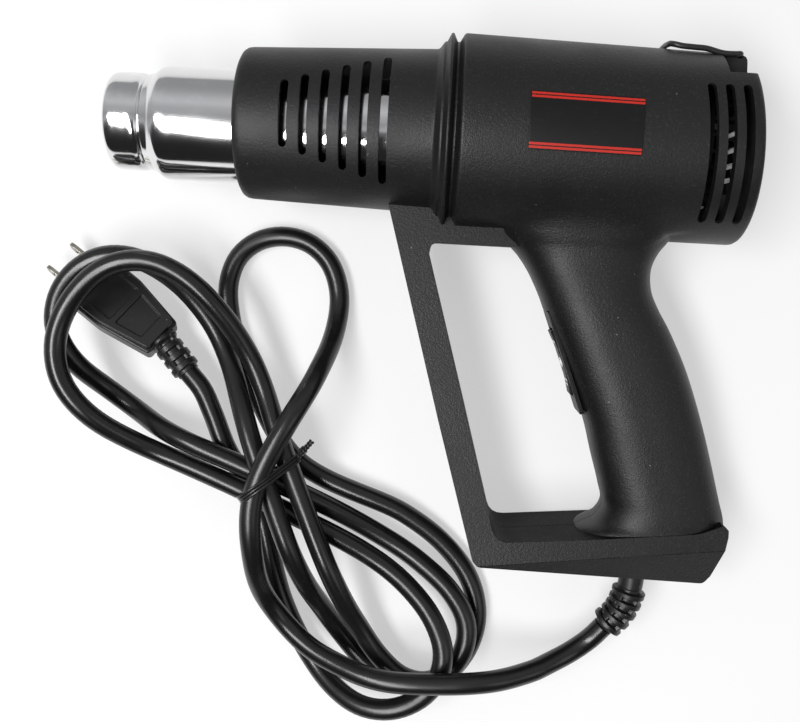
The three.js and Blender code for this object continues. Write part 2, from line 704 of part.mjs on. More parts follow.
const CLAMP_Y = SOLE_Y + 2 * WALL + 12;
const CLAMP_SCREW_X = 8;
const CLAMP_TOP = 6.6;
function clampHole(side) {
  return solid(bar(RELIEF_X + side * CLAMP_SCREW_X, CLAMP_Y + 3, -6, 9, 1.5, 8));
}
function clampBosses() {
  const post = (side) => solid(bar(RELIEF_X + side * CLAMP_SCREW_X, CLAMP_Y + 3, -60, 0, 3, 10));
  return join(post(-1), post(1));
}
function cordClamp() {
  const bridge = box(RELIEF_X - 11, RELIEF_X + 11, CLAMP_Y, CLAMP_Y + 6, FIT / 2, CLAMP_TOP);
  const arch = solid(new THREE.CylinderGeometry(3.4, 3.4, 20, 16).translate(RELIEF_X, CLAMP_Y, 0));
  const holes = [-1, 1].map((side) => clampHole(side));
  return geometryOf(cut(bridge, arch, ...holes));
}

function clampScrew(side) {
  const geometry = new THREE.LatheGeometry([
    V2(0, -11), V2(1.2, -11), V2(1.2, FIT), V2(2.6, FIT), V2(2.6, 1.2), V2(1.9, 1.9), V2(0, 1.9),
  ], 12);
  geometry.rotateX(Math.PI / 2);
  geometry.translate(RELIEF_X + side * CLAMP_SCREW_X, CLAMP_Y + 3, CLAMP_TOP);
  return geometry;
}

// Inner leads: from the relief up to the switch, and from the switch to the board
function lead(points) {
  return tube(points.map(([x, y, z]) => V3(x, y, z)), 1.1, 24, 6);
}
const supplyLead = () => lead([
  [RELIEF_X, SOLE_Y + 2 * WALL + 3.6, 0], [RELIEF_X, -136, 0], [199, -122, 0], [194, -108, 0],
  [190, -100.5, 0],
]);
const motorLead = () => lead([
  [188.4, -78, 0], [186, -66, 0], [172, -48, 0], [MOTOR_START_X + 12, -28, 0],
  [MOTOR_START_X + 4, -20, 0], [MOTOR_START_X + 2, -17.4, 0],
]);

// The lead, in the frame of the ground: z = 0 below, x and y as for the tool before its roll.
// Seven strands pass through the tie. Each lobe is half of a figure of eight that starts and
// ends at the waist: its direction, reach and half widths of the outgoing and returning legs.
const CORD_R = CORD_D / 2;
const CORD_LOW = CORD_R + FIT;
const WAIST = V2(59.5, -132.2);
const TIE_ALONG = V2(0.774, 0.633);
const WAIST_LOW = CORD_R + 2 * TIE_WIRE_R + 4 * FIT;
const SLOT = 10.4;
const LOBES = {
  upper: { turn: 91, reach: 95, out: -24, back: -24, full: 0 },
  low1: { turn: -45.7, reach: 106.5, out: 29.5, back: 23, full: 0 },
  left1: { turn: 135.5, reach: 107.5, out: -25, back: -26, full: 0 },
  low2: { turn: -45, reach: 104, out: 22, back: 18, full: 0.08 },
  left2: { turn: 132, reach: 99.5, out: -24, back: -33, full: 0 },
  low3: { turn: -52, reach: 103, out: 24, back: 27, full: 0 },
};
const LOBE_STEPS = 12;

// Points of one lobe with their order in the stack; a higher order lies on top. Each leg
// starts or ends at its own slot across the tie.
function lobe({ turn, reach, out, back, full }, [slotOut, slotBack], [orderOut, orderTip, orderBack]) {
  const a = THREE.MathUtils.degToRad(turn);
  const axis = V2(Math.cos(a), Math.sin(a));
  const side = V2(-axis.y, axis.x);
  const points = [];
  for (let i = 1; i < LOBE_STEPS; i += 1) {
    const t = 0.07 + (0.86 * i) / LOBE_STEPS;
    const away = Math.sin(Math.PI * t);
    const swing = Math.sin(2 * Math.PI * t) - full * Math.sin(4 * Math.PI * t);
    const across = (t < 0.5 ? out : back) * swing;
    const slot = (t < 0.5 ? slotOut : slotBack) * SLOT * (1 - away);
    const order = t < 0.2 ? orderOut : t < 0.8 ? orderTip : orderBack;
    const at = WAIST.clone().addScaledVector(axis, reach * away);
    at.addScaledVector(side, across).addScaledVector(TIE_ALONG, slot);
    points.push({ x: at.x, y: at.y, z: CORD_LOW, order });
  }
  return points;
}

function waist({ slot, order }) {
  const at = WAIST.clone().addScaledVector(TIE_ALONG, slot * SLOT);
  return { x: at.x, y: at.y, z: WAIST_LOW, order };
}

// The seven passes through the tie, and the lobe that follows each of the first six
const PASSES = [
  { slot: -0.25, order: 9, lobe: LOBES.upper, orders: [9, 0, 0] },
  { slot: 1, order: 0.2, lobe: LOBES.low1, orders: [0.2, 0.2, 5] },
  { slot: 0, order: 5, lobe: LOBES.left1, orders: [5, 0.45, 0.4] },
  { slot: 0, order: 0.4, lobe: LOBES.low2, orders: [0.4, 0.4, 6] },
  { slot: 1, order: 6, lobe: LOBES.left2, orders: [6, 7, 0.6] },
  { slot: -1, order: 0.6, lobe: LOBES.low3, orders: [0.6, 0.6, 0.5] },
  { slot: -1, order: 0.1 },
];

function hank() {
  return PASSES.flatMap((pass, i) => {
    if (!pass.lobe) return [waist(pass)];
    return [waist(pass), ...lobe(pass.lobe, [pass.slot, PASSES[i + 1].slot], pass.orders)];
  });
}

// Hand-chosen run from the strain relief to the waist, and from the waist to the plug
const LEAD_IN = [
  [181, -193.4, 12.4], [172.2, -197.6, 13.4], [162.3, -200.6, 16], [143, -203, CORD_LOW],
  [124.1, -204.5, CORD_LOW], [107, -204.8, CORD_LOW], [93.4, -202.5, CORD_LOW], [79, -197.3, CORD_LOW],
  [69, -189.5, CORD_LOW], [60.4, -176.5, CORD_LOW], [57.4, -160, CORD_LOW],
];
const PLUG_REAR = V2(13.5, -81.8);
const PLUG_TURN = THREE.MathUtils.degToRad(144.2);
const PLUG_ROLL = THREE.MathUtils.degToRad(20);
const PLUG_NECK = 16;
const plugAxis = V2(Math.cos(PLUG_TURN), Math.sin(PLUG_TURN));
const PLUG_TALL = PLUG_HEIGHT * Math.cos(PLUG_ROLL) + PLUG_FRONT_WIDTH * Math.sin(PLUG_ROLL);
const PLUG_MID_Z = PLUG_TALL / 2 + FIT;
const NECK_BEND = THREE.MathUtils.degToRad(-12);

// Point on the line of the bent neck, a distance behind the body of the plug
function neckPoint(d) {
  const at = V3(-d, 0, 0).applyAxisAngle(V3(0, 0, 1), NECK_BEND);
  at.applyAxisAngle(V3(1, 0, 0), PLUG_ROLL).applyAxisAngle(V3(0, 0, 1), PLUG_TURN);
  return at.add(V3(PLUG_REAR.x, PLUG_REAR.y, PLUG_MID_Z));
}

function cordRoute() {
  const end = reliefPath.getPointAt(1);
  const tangent = reliefPath.getTangentAt(1);
  const roll = new THREE.Matrix4().makeRotationX(ROLL);
  end.applyMatrix4(roll).add(V3(0, 0, HOUSING_FRONT_R));
  tangent.applyMatrix4(roll);
  const start = [FIT, CORD_D].map((d) => end.clone().addScaledVector(tangent, d));
  const top = 9;
  const finish = [CORD_D, 0].map((d) => neckPoint(PLUG_NECK + FIT + d));
  return [
    ...start.map((p) => ({ x: p.x, y: p.y, z: p.z, order: top })),
    ...LEAD_IN.map(([x, y, z]) => ({ x, y, z, order: top })),
    ...hank(),
    { x: 42.6, y: -126, z: 4.8, order: 0.1 },
    { x: 38.2, y: -117.4, z: 7.6, order: 0.1 },
    { x: 34.2, y: -108.2, z: 11.4, order: 0.1 },
    ...finish.map((p) => ({ x: p.x, y: p.y, z: p.z, order: 0.1 })),
  ];
}

// Even points along the route with the order of the nearest listed point
const SAMPLE = 2.5;
function sampleRoute(route) {
  const curve = new THREE.CatmullRomCurve3(route.map((p) => V3(p.x, p.y, p.z)), false, 'centripetal');
  curve.arcLengthDivisions = 4000;
  const count = Math.round(curve.getLength() / SAMPLE);
  const points = [];
  for (let i = 0; i <= count; i += 1) {
    const t = curve.getUtoTmapping(i / count);
    const at = curve.getPoint(t);
    points.push({ x: at.x, y: at.y, z: at.z, order: route[Math.round(t * (route.length - 1))].order });
  }
  return points;
}

// Height over the ground that the plug and its blades need below a crossing strand
function plugTop(x, y) {
  const rel = V2(x, y).sub(PLUG_REAR);
  const along = rel.dot(plugAxis);
  const across = Math.abs(rel.dot(V2(-plugAxis.y, plugAxis.x)));
  const within = (length, halfWidth) => (
    along > -CORD_R && along < length + CORD_R && across < halfWidth + CORD_R
  );
  if (within(PLUG_LENGTH, PLUG_FRONT_WIDTH / 2)) return PLUG_TALL + FIT;
  if (within(PLUG_LENGTH + BLADE_LENGTH, BLADE_SPACING / 2 + 1.5)) return PLUG_MID_Z + 5.2;
  return 0;
}

// Each strand is lifted over the strands below it, then its height is eased along its length
function stackStrands(points) {
  const reach = CORD_D + CORD_GAP;
  const apart = Math.round((3 * CORD_D) / SAMPLE);
  const pairs = [];
  for (let i = 0; i < points.length; i += 1) {
    for (let j = 0; j + apart < i; j += 1) {
      const d = Math.hypot(points[i].x - points[j].x, points[i].y - points[j].y);
      if (d < reach) {
        const rise = Math.sqrt(reach * reach - d * d);
        pairs.push(points[i].order >= points[j].order ? [i, j, rise] : [j, i, rise]);
      }
    }
  }
  const last = points.length - 1;
  const free = points.map((p, i) => (last - i) * SAMPLE > 60);
  const least = points.map((p, i) => {
    const under = free[i] ? plugTop(p.x, p.y) : 0;
    return Math.max(p.z, under > 0 ? under + CORD_R + FIT : 0);
  });
  const ease = 5;
  const mean = (list) => list.map((h, i) => {
    const part = list.slice(Math.max(i - ease, 0), i + ease + 1);
    return part.reduce((a, b) => a + b) / part.length;
  });
  let height = least.slice();
  for (let round = 0; round < 40; round += 1) {
    const need = least.slice();
    for (const [over, under, rise] of pairs) need[over] = Math.max(need[over], height[under] + rise);
    const high = need.map((h, i) => Math.max(...need.slice(Math.max(i - 2 * ease, 0), i + 2 * ease + 1)));
    const eased = mean(mean(high));
    height = eased.map((h, i) => {
      const fromEnd = Math.min(i, last - i) * SAMPLE;
      const blend = Math.min(Math.max((fromEnd - CORD_D) / 24, 0), 1);
      return least[i] + (h - least[i]) * blend;
    });
  }
  return points.map((p, i) => V3(p.x, p.y, height[i]));
}

function selfGap(points) {
  const apart = Math.round((4 * CORD_D) / SAMPLE);
  let least = Infinity;
  for (let i = 0; i < points.length; i += 1) {
    for (let j = 0; j + apart < i; j += 1) {
      least = Math.min(least, points[i].distanceTo(points[j]) - CORD_D);
    }
  }
  return least;
}

const strand = stackStrands(sampleRoute(cordRoute()));
const cordLength = strand.slice(1).reduce((sum, p, i) => sum + p.distanceTo(strand[i]), 0);
console.log(`lead ${cordLength.toFixed(0)} mm long, least gap to itself ${selfGap(strand).toFixed(2)} mm`);

function powerCord() {
  return tube(strand, CORD_R, Math.round(cordLength / 8), 6);
}

// The tie runs round the bundle: the hull of the strands where they cross its plane
function cordTie() {
  const across = V2(-TIE_ALONG.y, TIE_ALONG.x);
  const centres = [];
  for (let i = 1; i < strand.length; i += 1) {
    const a = V2(strand[i - 1].x, strand[i - 1].y).sub(WAIST);
    const b = V2(strand[i].x, strand[i].y).sub(WAIST);
    const near = Math.abs(b.dot(TIE_ALONG)) < 2 * SLOT;
    if (near && a.dot(across) * b.dot(across) <= 0) centres.push(V2(b.dot(TIE_ALONG), strand[i].z));
  }
  const reach = CORD_R * 1.5 + TIE_WIRE_R + FIT;
  const place = (s, z, v) => V3(
    WAIST.x + TIE_ALONG.x * s + across.x * v,
    WAIST.y + TIE_ALONG.y * s + across.y * v,
    Math.max(z, TIE_WIRE_R + FIT),
  );
  const ring = [];
  const steps = 28;
  for (let i = 0; i <= steps; i += 1) {
    const a = 0.35 + ((2 * Math.PI - 0.1) * i) / steps;
    const toward = V2(Math.cos(a), Math.sin(a));
    const best = centres.reduce((p, q) => (p.dot(toward) > q.dot(toward) ? p : q));
    const at = best.clone().addScaledVector(toward, reach);
    ring.push(place(at.x, at.y, -1.6 + (3.2 * i) / steps));
  }
  const tail = (p, v) => p.clone().add(
    V3(TIE_ALONG.x * 7 + across.x * v, TIE_ALONG.y * 7 + across.y * v, 2),
  );
  return tube([tail(ring[0], -0.4), ...ring, tail(ring[steps], 0.4)], TIE_WIRE_R, 48, 5);
}

// Plug, built along its own x axis from the rear of the body, then laid on the ground
function atPlug(geometry) {
  geometry.rotateX(PLUG_ROLL);
  geometry.rotateZ(PLUG_TURN);
  geometry.translate(PLUG_REAR.x, PLUG_REAR.y, PLUG_MID_Z);
  return geometry;
}

function plugBody() {
  const rear = PLUG_REAR_WIDTH / 2;
  const front = PLUG_FRONT_WIDTH / 2;
  const bevel = 1.5;
  const shape = new THREE.Shape([
    V2(bevel, -rear + bevel), V2(PLUG_LENGTH - 9, -front + bevel), V2(PLUG_LENGTH - bevel, -front + bevel),
    V2(PLUG_LENGTH - bevel, front - bevel), V2(PLUG_LENGTH - 9, front - bevel), V2(bevel, rear - bevel),
  ]);
  const block = new THREE.ExtrudeGeometry(shape, {
    depth: PLUG_HEIGHT - 2 * bevel,
    bevelEnabled: true,
    bevelThickness: bevel,
    bevelSize: bevel,
    bevelSegments: 2,
  });
  block.translate(0, 0, bevel - PLUG_HEIGHT / 2);
  const neckBar = (x0, x1, radius) => {
    const geometry = new THREE.CylinderGeometry(radius, radius, x1 - x0, 16);
    geometry.rotateZ(Math.PI / 2);
    geometry.translate((x0 + x1) / 2, 0, 0);
    geometry.rotateZ(NECK_BEND);
    return solid(geometry);
  };
  const ribs = [0, 1, 2].map((i) => neckBar(-5.4 - 4.6 * i, -2.8 - 4.6 * i, 5.6));
  const whole = join(solid(block), neckBar(-PLUG_NECK, 2, 4.4), ...ribs);
  const slot = BLADE_SPACING / 2;
  const pocket = (y) => box(PLUG_LENGTH - 8, PLUG_LENGTH + 2, y - 1.1, y + 1.1, -3.5, 3.5);
  return atPlug(geometryOf(cut(whole, pocket(-slot), pocket(slot))));
}

function plugBlade(side) {
  const y = (side * BLADE_SPACING) / 2;
  const tip = PLUG_LENGTH + BLADE_LENGTH;
  return atPlug(geometryOf(box(PLUG_LENGTH - 7.6, tip, y - 0.75, y + 0.75, -3.15, 3.15)));
}

// Assembly
function add(group, name, geometry, material) {
  const mesh = new THREE.Mesh(geometry, material());
  mesh.name = name;
  group.add(mesh);
}

function buildTool() {
  const tool = new THREE.Group();
  const [left, right] = shells();
  add(tool, 'left_shell', geometryOf(left), BLACK);
  add(tool, 'right_shell', geometryOf(right), BLACK);
  SCREWS.forEach(([x, y, seat], i) => add(tool, `shell_screw_${i + 1}`, shellScrew(x, y, seat), STEEL));
  add(tool, 'nozzle_tube', nozzleTube(), CHROME);
  add(tool, 'mica_sleeve', micaSleeve(), MICA);
  add(tool, 'heater_former', heaterFormer(), MICA);
  add(tool, 'heater_coil', heaterCoil(), STEEL);
  add(tool, 'heater_holder', heaterHolder(), CERAMIC);
  add(tool, 'nozzle_clamp', nozzleClamp(), STEEL);
  add(tool, 'thermal_cutout', thermalCutout(), BRASS);
  add(tool, 'motor_can', motorCan(), STEEL);
  add(tool, 'motor_end_cap', motorEndCap(), WHITE);
  add(tool, 'motor_mount', motorMount(), BLACK);
  add(tool, 'motor_shaft', motorShaft(), STEEL);
  add(tool, 'fan_impeller', fanImpeller(), WHITE);
  add(tool, 'rectifier_board', rectifierBoard(), BOARD);
  add(tool, 'switch_body', switchBody(), SOFT_BLACK);
  add(tool, 'switch_rocker', switchRocker(), SOFT_BLACK);
  add(tool, 'hang_bail', hangBail(), STEEL);
  add(tool, 'nameplate', nameplate(), SOFT_BLACK);
  add(tool, 'strain_relief', strainRelief(), SOFT_BLACK);
  add(tool, 'cord_clamp', cordClamp(), WHITE);
  add(tool, 'clamp_screw_1', clampScrew(-1), STEEL);
  add(tool, 'clamp_screw_2', clampScrew(1), STEEL);
  add(tool, 'supply_lead', supplyLead(), RED);
  add(tool, 'motor_lead', motorLead(), RED);
  tool.rotation.x = ROLL;
  tool.position.z = HOUSING_FRONT_R;
  return tool;
}

function buildLead() {
  const group = new THREE.Group();
  add(group, 'power_cord', powerCord(), SOFT_BLACK);
  add(group, 'cord_tie', cordTie(), SOFT_BLACK);
  add(group, 'plug_body', plugBody(), SOFT_BLACK);
  add(group, 'plug_blade_1', plugBlade(1), BRASS);
  add(group, 'plug_blade_2', plugBlade(-1), BRASS);
  return group;
}

// The origin is under the middle of the tool's box
function assemble() {
  const object = new THREE.Group();
  const tool = buildTool();
  const hank = buildLead();
  object.add(tool, hank);
  tool.updateMatrixWorld(true);
  const bounds = new THREE.Box3().setFromObject(tool, true);
  const mid = bounds.getCenter(V3(0, 0, 0));
  const shift = V3(-mid.x, -mid.y, -bounds.min.z);
  tool.position.add(shift);
  hank.position.copy(shift);
  console.log(`tool origin at ${shift.toArray().map((v) => v.toFixed(3))}, roll ${ROLL.toFixed(5)}`);
  return object;
}

export default assemble();
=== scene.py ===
# %% [markdown]
# # A corded hot air tool, lying on its side
# The CAD model of this tool is finished and packed, and it is a fixed frame here: every
# piece below is modelled in metres in the same frame, so nothing has to be fitted. The
# plain solids get finishes of their own or are replaced by smoother pieces. The box of
# the CAD model is kept to compare with the finished one at the end.

# %% Load the frame
import json
import math
import bpy
import numpy as np
from mathutils import Matrix, Vector

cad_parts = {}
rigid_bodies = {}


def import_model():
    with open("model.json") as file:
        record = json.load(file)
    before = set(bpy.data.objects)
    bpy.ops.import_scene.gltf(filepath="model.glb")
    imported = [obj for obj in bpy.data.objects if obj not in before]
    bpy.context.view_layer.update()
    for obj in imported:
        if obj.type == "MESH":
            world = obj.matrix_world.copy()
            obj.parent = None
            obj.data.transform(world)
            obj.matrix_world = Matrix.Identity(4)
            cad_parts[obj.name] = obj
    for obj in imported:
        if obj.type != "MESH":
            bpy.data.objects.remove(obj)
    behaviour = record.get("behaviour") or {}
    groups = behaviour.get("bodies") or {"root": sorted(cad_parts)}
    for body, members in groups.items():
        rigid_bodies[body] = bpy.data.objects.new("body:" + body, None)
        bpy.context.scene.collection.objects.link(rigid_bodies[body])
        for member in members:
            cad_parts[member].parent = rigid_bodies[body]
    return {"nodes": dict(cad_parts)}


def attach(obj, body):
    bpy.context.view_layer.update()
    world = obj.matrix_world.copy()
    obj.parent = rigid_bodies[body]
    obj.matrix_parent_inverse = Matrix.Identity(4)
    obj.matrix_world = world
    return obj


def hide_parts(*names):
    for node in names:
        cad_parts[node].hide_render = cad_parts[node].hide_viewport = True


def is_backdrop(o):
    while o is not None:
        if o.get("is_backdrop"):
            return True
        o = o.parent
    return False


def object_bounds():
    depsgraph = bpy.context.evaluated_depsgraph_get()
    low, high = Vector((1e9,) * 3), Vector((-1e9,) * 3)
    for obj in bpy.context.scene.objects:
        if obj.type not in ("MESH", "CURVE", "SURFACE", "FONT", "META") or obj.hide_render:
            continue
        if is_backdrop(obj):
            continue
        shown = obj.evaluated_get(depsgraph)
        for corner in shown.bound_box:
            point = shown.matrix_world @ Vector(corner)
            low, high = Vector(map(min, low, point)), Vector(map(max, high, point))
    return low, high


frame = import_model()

cad_box = [list(corner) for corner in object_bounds()]
MM = 0.001

# %% [markdown]
# ## The camera
# The photograph looks almost straight down on the tool. A camera is a location and three
# directions, right, up and back, which are the columns of its rotation. They were worked
# out from the known sizes of the barrel and the foot, so the lens is an ordinary 40 mm
# with no shift.

# %% Camera
lens_right = Vector((0.997624, 0.056885, -0.038847))
lens_up = Vector((-0.057901, 0.997996, -0.025528))
lens_back = Vector((0.037317, 0.027716, 0.998919))
lens_at = Matrix.Translation((0.004453, -0.000138, 0.364598))
camera_data = bpy.data.cameras.new("photo_camera")
camera_data.sensor_fit = "HORIZONTAL"
camera_data.sensor_width = 36
camera_data.lens = 40.5
camera_data.clip_start = 0.01
camera = bpy.data.objects.new("photo_camera", camera_data)
bpy.context.collection.objects.link(camera)
camera.matrix_world = lens_at @ Matrix((lens_right, lens_up, lens_back)).transposed().to_4x4()
bpy.context.scene.camera = camera
print("camera looks down from", round(camera.location.z, 3), "m")

# %% [markdown]
# ## The tool's own axes
# The tool is easier to model upright: x along the barrel from the nozzle tip, y up to the
# top of the housing, z out of the near side, all in millimetres as a drawing would give
# them. It lies on the ground rolled a few degrees about the barrel, so one matrix takes a
# finished piece there, and applying it leaves the object at the origin, unturned.

# %% From the tool's axes to the ground
ROLL = 0.09719
AXIS_HEIGHT = 34.7
GROUND_PLACE = Matrix.Translation((-0.1162, 0.074301, -0.000102))
TOOL_PLACE = (GROUND_PLACE @ Matrix.Translation((0, 0, AXIS_HEIGHT * MM))
              @ Matrix.Rotation(ROLL, 4, "X"))


def only(piece):
    """Selects this piece alone and makes it active."""
    bpy.ops.object.select_all(action="DESELECT")
    piece.select_set(True)
    bpy.context.view_layer.objects.active = piece
    return piece


def settle(piece, place=TOOL_PLACE):
    """Takes a piece from the tool's axes to the ground and applies that to its mesh."""
    only(piece)
    piece.matrix_world = place
    bpy.ops.object.transform_apply(location=True, rotation=True, scale=True)
    return piece


print("nozzle tip at", [round(v, 4) for v in TOOL_PLACE.translation])

# %% [markdown]
# ## A small workshop
# Most pieces come from three moves. A turned piece starts as a circle whose corners are
# laid out as the profile, and Spin sweeps it round the barrel axis. A cut-out piece starts
# as a filled circle laid out as the outline, and is extruded. A skinned piece starts as a
# grid whose rows are rolled into rings, one after the other along the form. Numbers go in
# as millimetres.

# %% New pieces, edit mode and modifiers
def added(name, operator, **settings):
    """Runs an operator that adds a mesh, and names what it added."""
    bpy.ops.object.select_all(action="DESELECT")
    operator(**settings)
    bpy.context.object.name = name
    return bpy.context.object


def in_edit_mode(piece, *steps):
    """Runs mesh operators on the whole of a piece, one after the other."""
    only(piece)
    bpy.ops.object.mode_set(mode="EDIT")
    for step in steps:
        bpy.ops.mesh.select_all(action="SELECT")
        step()
    bpy.ops.object.mode_set(mode="OBJECT")
    return piece


def weld():
    bpy.ops.mesh.remove_doubles(threshold=1e-6)


def face_outwards():
    bpy.ops.mesh.normals_make_consistent(inside=False)


def applied(piece, kind, **settings):
    """Adds a modifier with its settings and applies it."""
    only(piece)
    modifier = piece.modifiers.new(kind.lower(), kind)
    for key, value in settings.items():
        setattr(modifier, key, value)
    bpy.ops.object.modifier_apply(modifier=modifier.name)
    return piece


# %% Turned, cut-out and skinned pieces
def turned(name, profile, steps=128):
    """Spins a closed profile of (x, radius) about the barrel axis."""
    piece = added(name, bpy.ops.mesh.primitive_circle_add, vertices=len(profile), radius=MM)
    for corner, (x, radius) in zip(piece.data.vertices, profile):
        corner.co = (x * MM, radius * MM, 0)
    sweep = lambda: bpy.ops.mesh.spin(
        steps=steps, angle=2 * math.pi, center=(0, 0, 0), axis=(1, 0, 0))
    return in_edit_mode(piece, sweep, weld, bpy.ops.mesh.delete_loose, face_outwards)


def cut_out(name, outline, z0, z1):
    """Extrudes a flat outline of (x, y) from z0 to z1."""
    piece = added(name, bpy.ops.mesh.primitive_circle_add, vertices=len(outline), radius=MM,
                  fill_type="NGON")
    for corner, (x, y) in zip(piece.data.vertices, outline):
        corner.co = (x * MM, y * MM, z0 * MM)
    rise = lambda: bpy.ops.mesh.extrude_region_move(
        TRANSFORM_OT_translate={"value": (0, 0, (z1 - z0) * MM)})
    return in_edit_mode(piece, rise, face_outwards)


def skinned(name, rings):
    """Rolls the rows of a grid into closed rings and fills the two ends."""
    piece = added(name, bpy.ops.mesh.primitive_grid_add, x_subdivisions=len(rings[0]),
                  y_subdivisions=len(rings) - 1)
    rows = np.array([list(ring) + [ring[0]] for ring in rings], float) * MM
    piece.data.vertices.foreach_set("co", rows.reshape(-1))
    return in_edit_mode(piece, weld, lambda: bpy.ops.mesh.fill_holes(sides=0), face_outwards)


# %% Plain rods and blocks
def rod(name, start, end, radius, sides=32):
    """A straight rod between two points."""
    start, end = Vector(start) * MM, Vector(end) * MM
    piece = added(name, bpy.ops.mesh.primitive_cone_add, vertices=sides, radius1=radius * MM,
                  radius2=radius * MM, depth=(end - start).length, location=(start + end) / 2,
                  rotation=(end - start).to_track_quat("Z", "Y").to_euler())
    return settle(piece, piece.matrix_world.copy())


def block(name, low, high):
    """A box between two corners."""
    low, high = Vector(low), Vector(high)
    piece = added(name, bpy.ops.mesh.primitive_cube_add, size=1, location=(low + high) * MM / 2)
    return settle(piece, Matrix.LocRotScale(piece.location, None, (high - low) * MM))


# %% Changes to whole pieces
def combined(piece, tool, operation):
    """An exact boolean with another piece, which is then removed."""
    applied(piece, "BOOLEAN", object=tool, operation=operation, solver="EXACT")
    bpy.data.objects.remove(tool, do_unlink=True)
    return piece


def softened(piece, width, segments=2, angle=35):
    """Bevels every edge sharper than the angle."""
    return applied(piece, "BEVEL", width=width * MM, segments=segments, limit_method="ANGLE",
                   angle_limit=math.radians(angle), harden_normals=False)


def shade(piece, angle=32):
    """Smooth shading that keeps sharp edges, with normals that follow the larger faces."""
    only(piece)
    bpy.ops.object.shade_smooth_by_angle(angle=math.radians(angle))
    return applied(piece, "WEIGHTED_NORMAL", keep_sharp=True)


def copied(piece, name):
    """A copy with a mesh of its own."""
    twin = piece.copy()
    twin.data = piece.data.copy()
    twin.name = name
    bpy.context.collection.objects.link(twin)
    return twin


def joined(name, pieces):
    """Joins pieces into the first one."""
    only(pieces[0])
    for piece in pieces:
        piece.select_set(True)
    bpy.ops.object.join()
    pieces[0].name = name
    return pieces[0]


# %% Corners of a profile
def rounded(corners, steps=4):
    """Turns (x, y, radius) corners of a closed outline into points with fillets."""
    points = []
    for i, (x, y, radius) in enumerate(corners):
        if radius == 0:
            points.append((x, y))
            continue
        here = Vector((x, y))
        before = Vector(corners[i - 1][:2]) - here
        after = Vector(corners[(i + 1) % len(corners)][:2]) - here
        reach = radius * math.tan((math.pi - before.angle(after)) / 2)
        reach = min(reach, 0.48 * before.length, 0.48 * after.length)
        start, end = here + before.normalized() * reach, here + after.normalized() * reach
        for t in (k / steps for k in range(steps + 1)):
            points.append(tuple(start * (1 - t) ** 2 + here * 2 * t * (1 - t) + end * t ** 2))
    return points


square = [(0, 0, 2), (9, 0, 2), (9, 9, 2), (0, 9, 2)]
print("a 2 mm fillet on a square has", len(rounded(square)), "points")

# %% [markdown]
# ## Finishes
# Moulded plastic, lead sheathing and plated metal each have a surface of their own, and the
# same three effects make them all differ: a fine grain in the mould, slow cloudiness from
# handling, and specks of dust. Each effect is a node group, built once, and every finish
# places it with its own values. The shader itself stays in the material, and a number that
# is the same all over is typed on the shader's socket.

# %% Node helpers
def fed(tree, node, inputs):
    """Gives each named input of a node a value, or a link from an output."""
    for key, value in inputs.items():
        if isinstance(value, bpy.types.NodeSocket):
            tree.links.new(value, node.inputs[key])
        else:
            node.inputs[key].default_value = value
    return node.outputs


def placed(tree, kind, inputs=None, **settings):
    """Adds a shader node with its settings, feeds it and returns its outputs."""
    node = tree.nodes.new("ShaderNode" + kind)
    for key, value in settings.items():
        setattr(node, key, value)
    return fed(tree, node, inputs or {})


def reckoned(tree, operation, *values):
    """Adds a math node and returns its result."""
    return placed(tree, "Math", dict(enumerate(values)), operation=operation)[0]


def mixed(tree, share, first, second):
    """Adds a node that mixes two colours and returns the mixture."""
    inputs = {"Factor": share, "A": first, "B": second}
    return placed(tree, "Mix", inputs, data_type="RGBA")["Result"]


def effect(name, inputs, outputs):
    """A node group with number sockets: the group, its given values, its output and a place."""
    group = bpy.data.node_groups.new(name, "ShaderNodeTree")
    for label in inputs:
        group.interface.new_socket(label, in_out="INPUT", socket_type="NodeSocketFloat")
    for label in outputs:
        group.interface.new_socket(label, in_out="OUTPUT", socket_type="NodeSocketFloat")
    given = group.nodes.new("NodeGroupInput").outputs
    place = placed(group, "TexCoord")["Object"]
    return group, given, group.nodes.new("NodeGroupOutput"), place


# %% Mould grain: two sizes of bumps, and their peaks
mould_grain, given, out, place = effect("mould_grain", ["Grains per metre"], ["Height", "Peaks"])
COARSE_SIZE, COARSE_SHARE = 0.45, 0.4
FINE_DETAIL, COARSE_DETAIL = 1.5, 0.5
fine_scale = given["Grains per metre"]
coarse_scale = reckoned(mould_grain, "MULTIPLY", fine_scale, COARSE_SIZE)
bumps = {}
for scale, detail in ((fine_scale, FINE_DETAIL), (coarse_scale, COARSE_DETAIL)):
    inputs = {"Vector": place, "Scale": scale, "Detail": detail}
    bumps[detail] = placed(mould_grain, "TexNoise", inputs)["Fac"]
inputs = {"Factor": COARSE_SHARE, "A": bumps[FINE_DETAIL], "B": bumps[COARSE_DETAIL]}
height = placed(mould_grain, "Mix", inputs)["Result"]
inputs = {"Value": height, "From Min": 0.56, "From Max": 0.72}
peaks = placed(mould_grain, "MapRange", inputs)["Result"]
fed(mould_grain, out, {"Height": height, "Peaks": peaks})
print("effect", mould_grain.name)

# %% Handling: a slow cloud from low to high, as grease and wear leave it
handling, given, out, place = effect("handling", ["Clouds per metre", "Low", "High"], ["Value"])
inputs = {"Vector": place, "Scale": given["Clouds per metre"], "Detail": 4}
cloud = placed(handling, "TexNoise", inputs)["Fac"]
inputs = {"Value": cloud, "From Min": 0.3, "From Max": 0.7,
          "To Min": given["Low"], "To Max": given["High"]}
fed(handling, out, {"Value": placed(handling, "MapRange", inputs)["Result"]})
print("effect", handling.name)

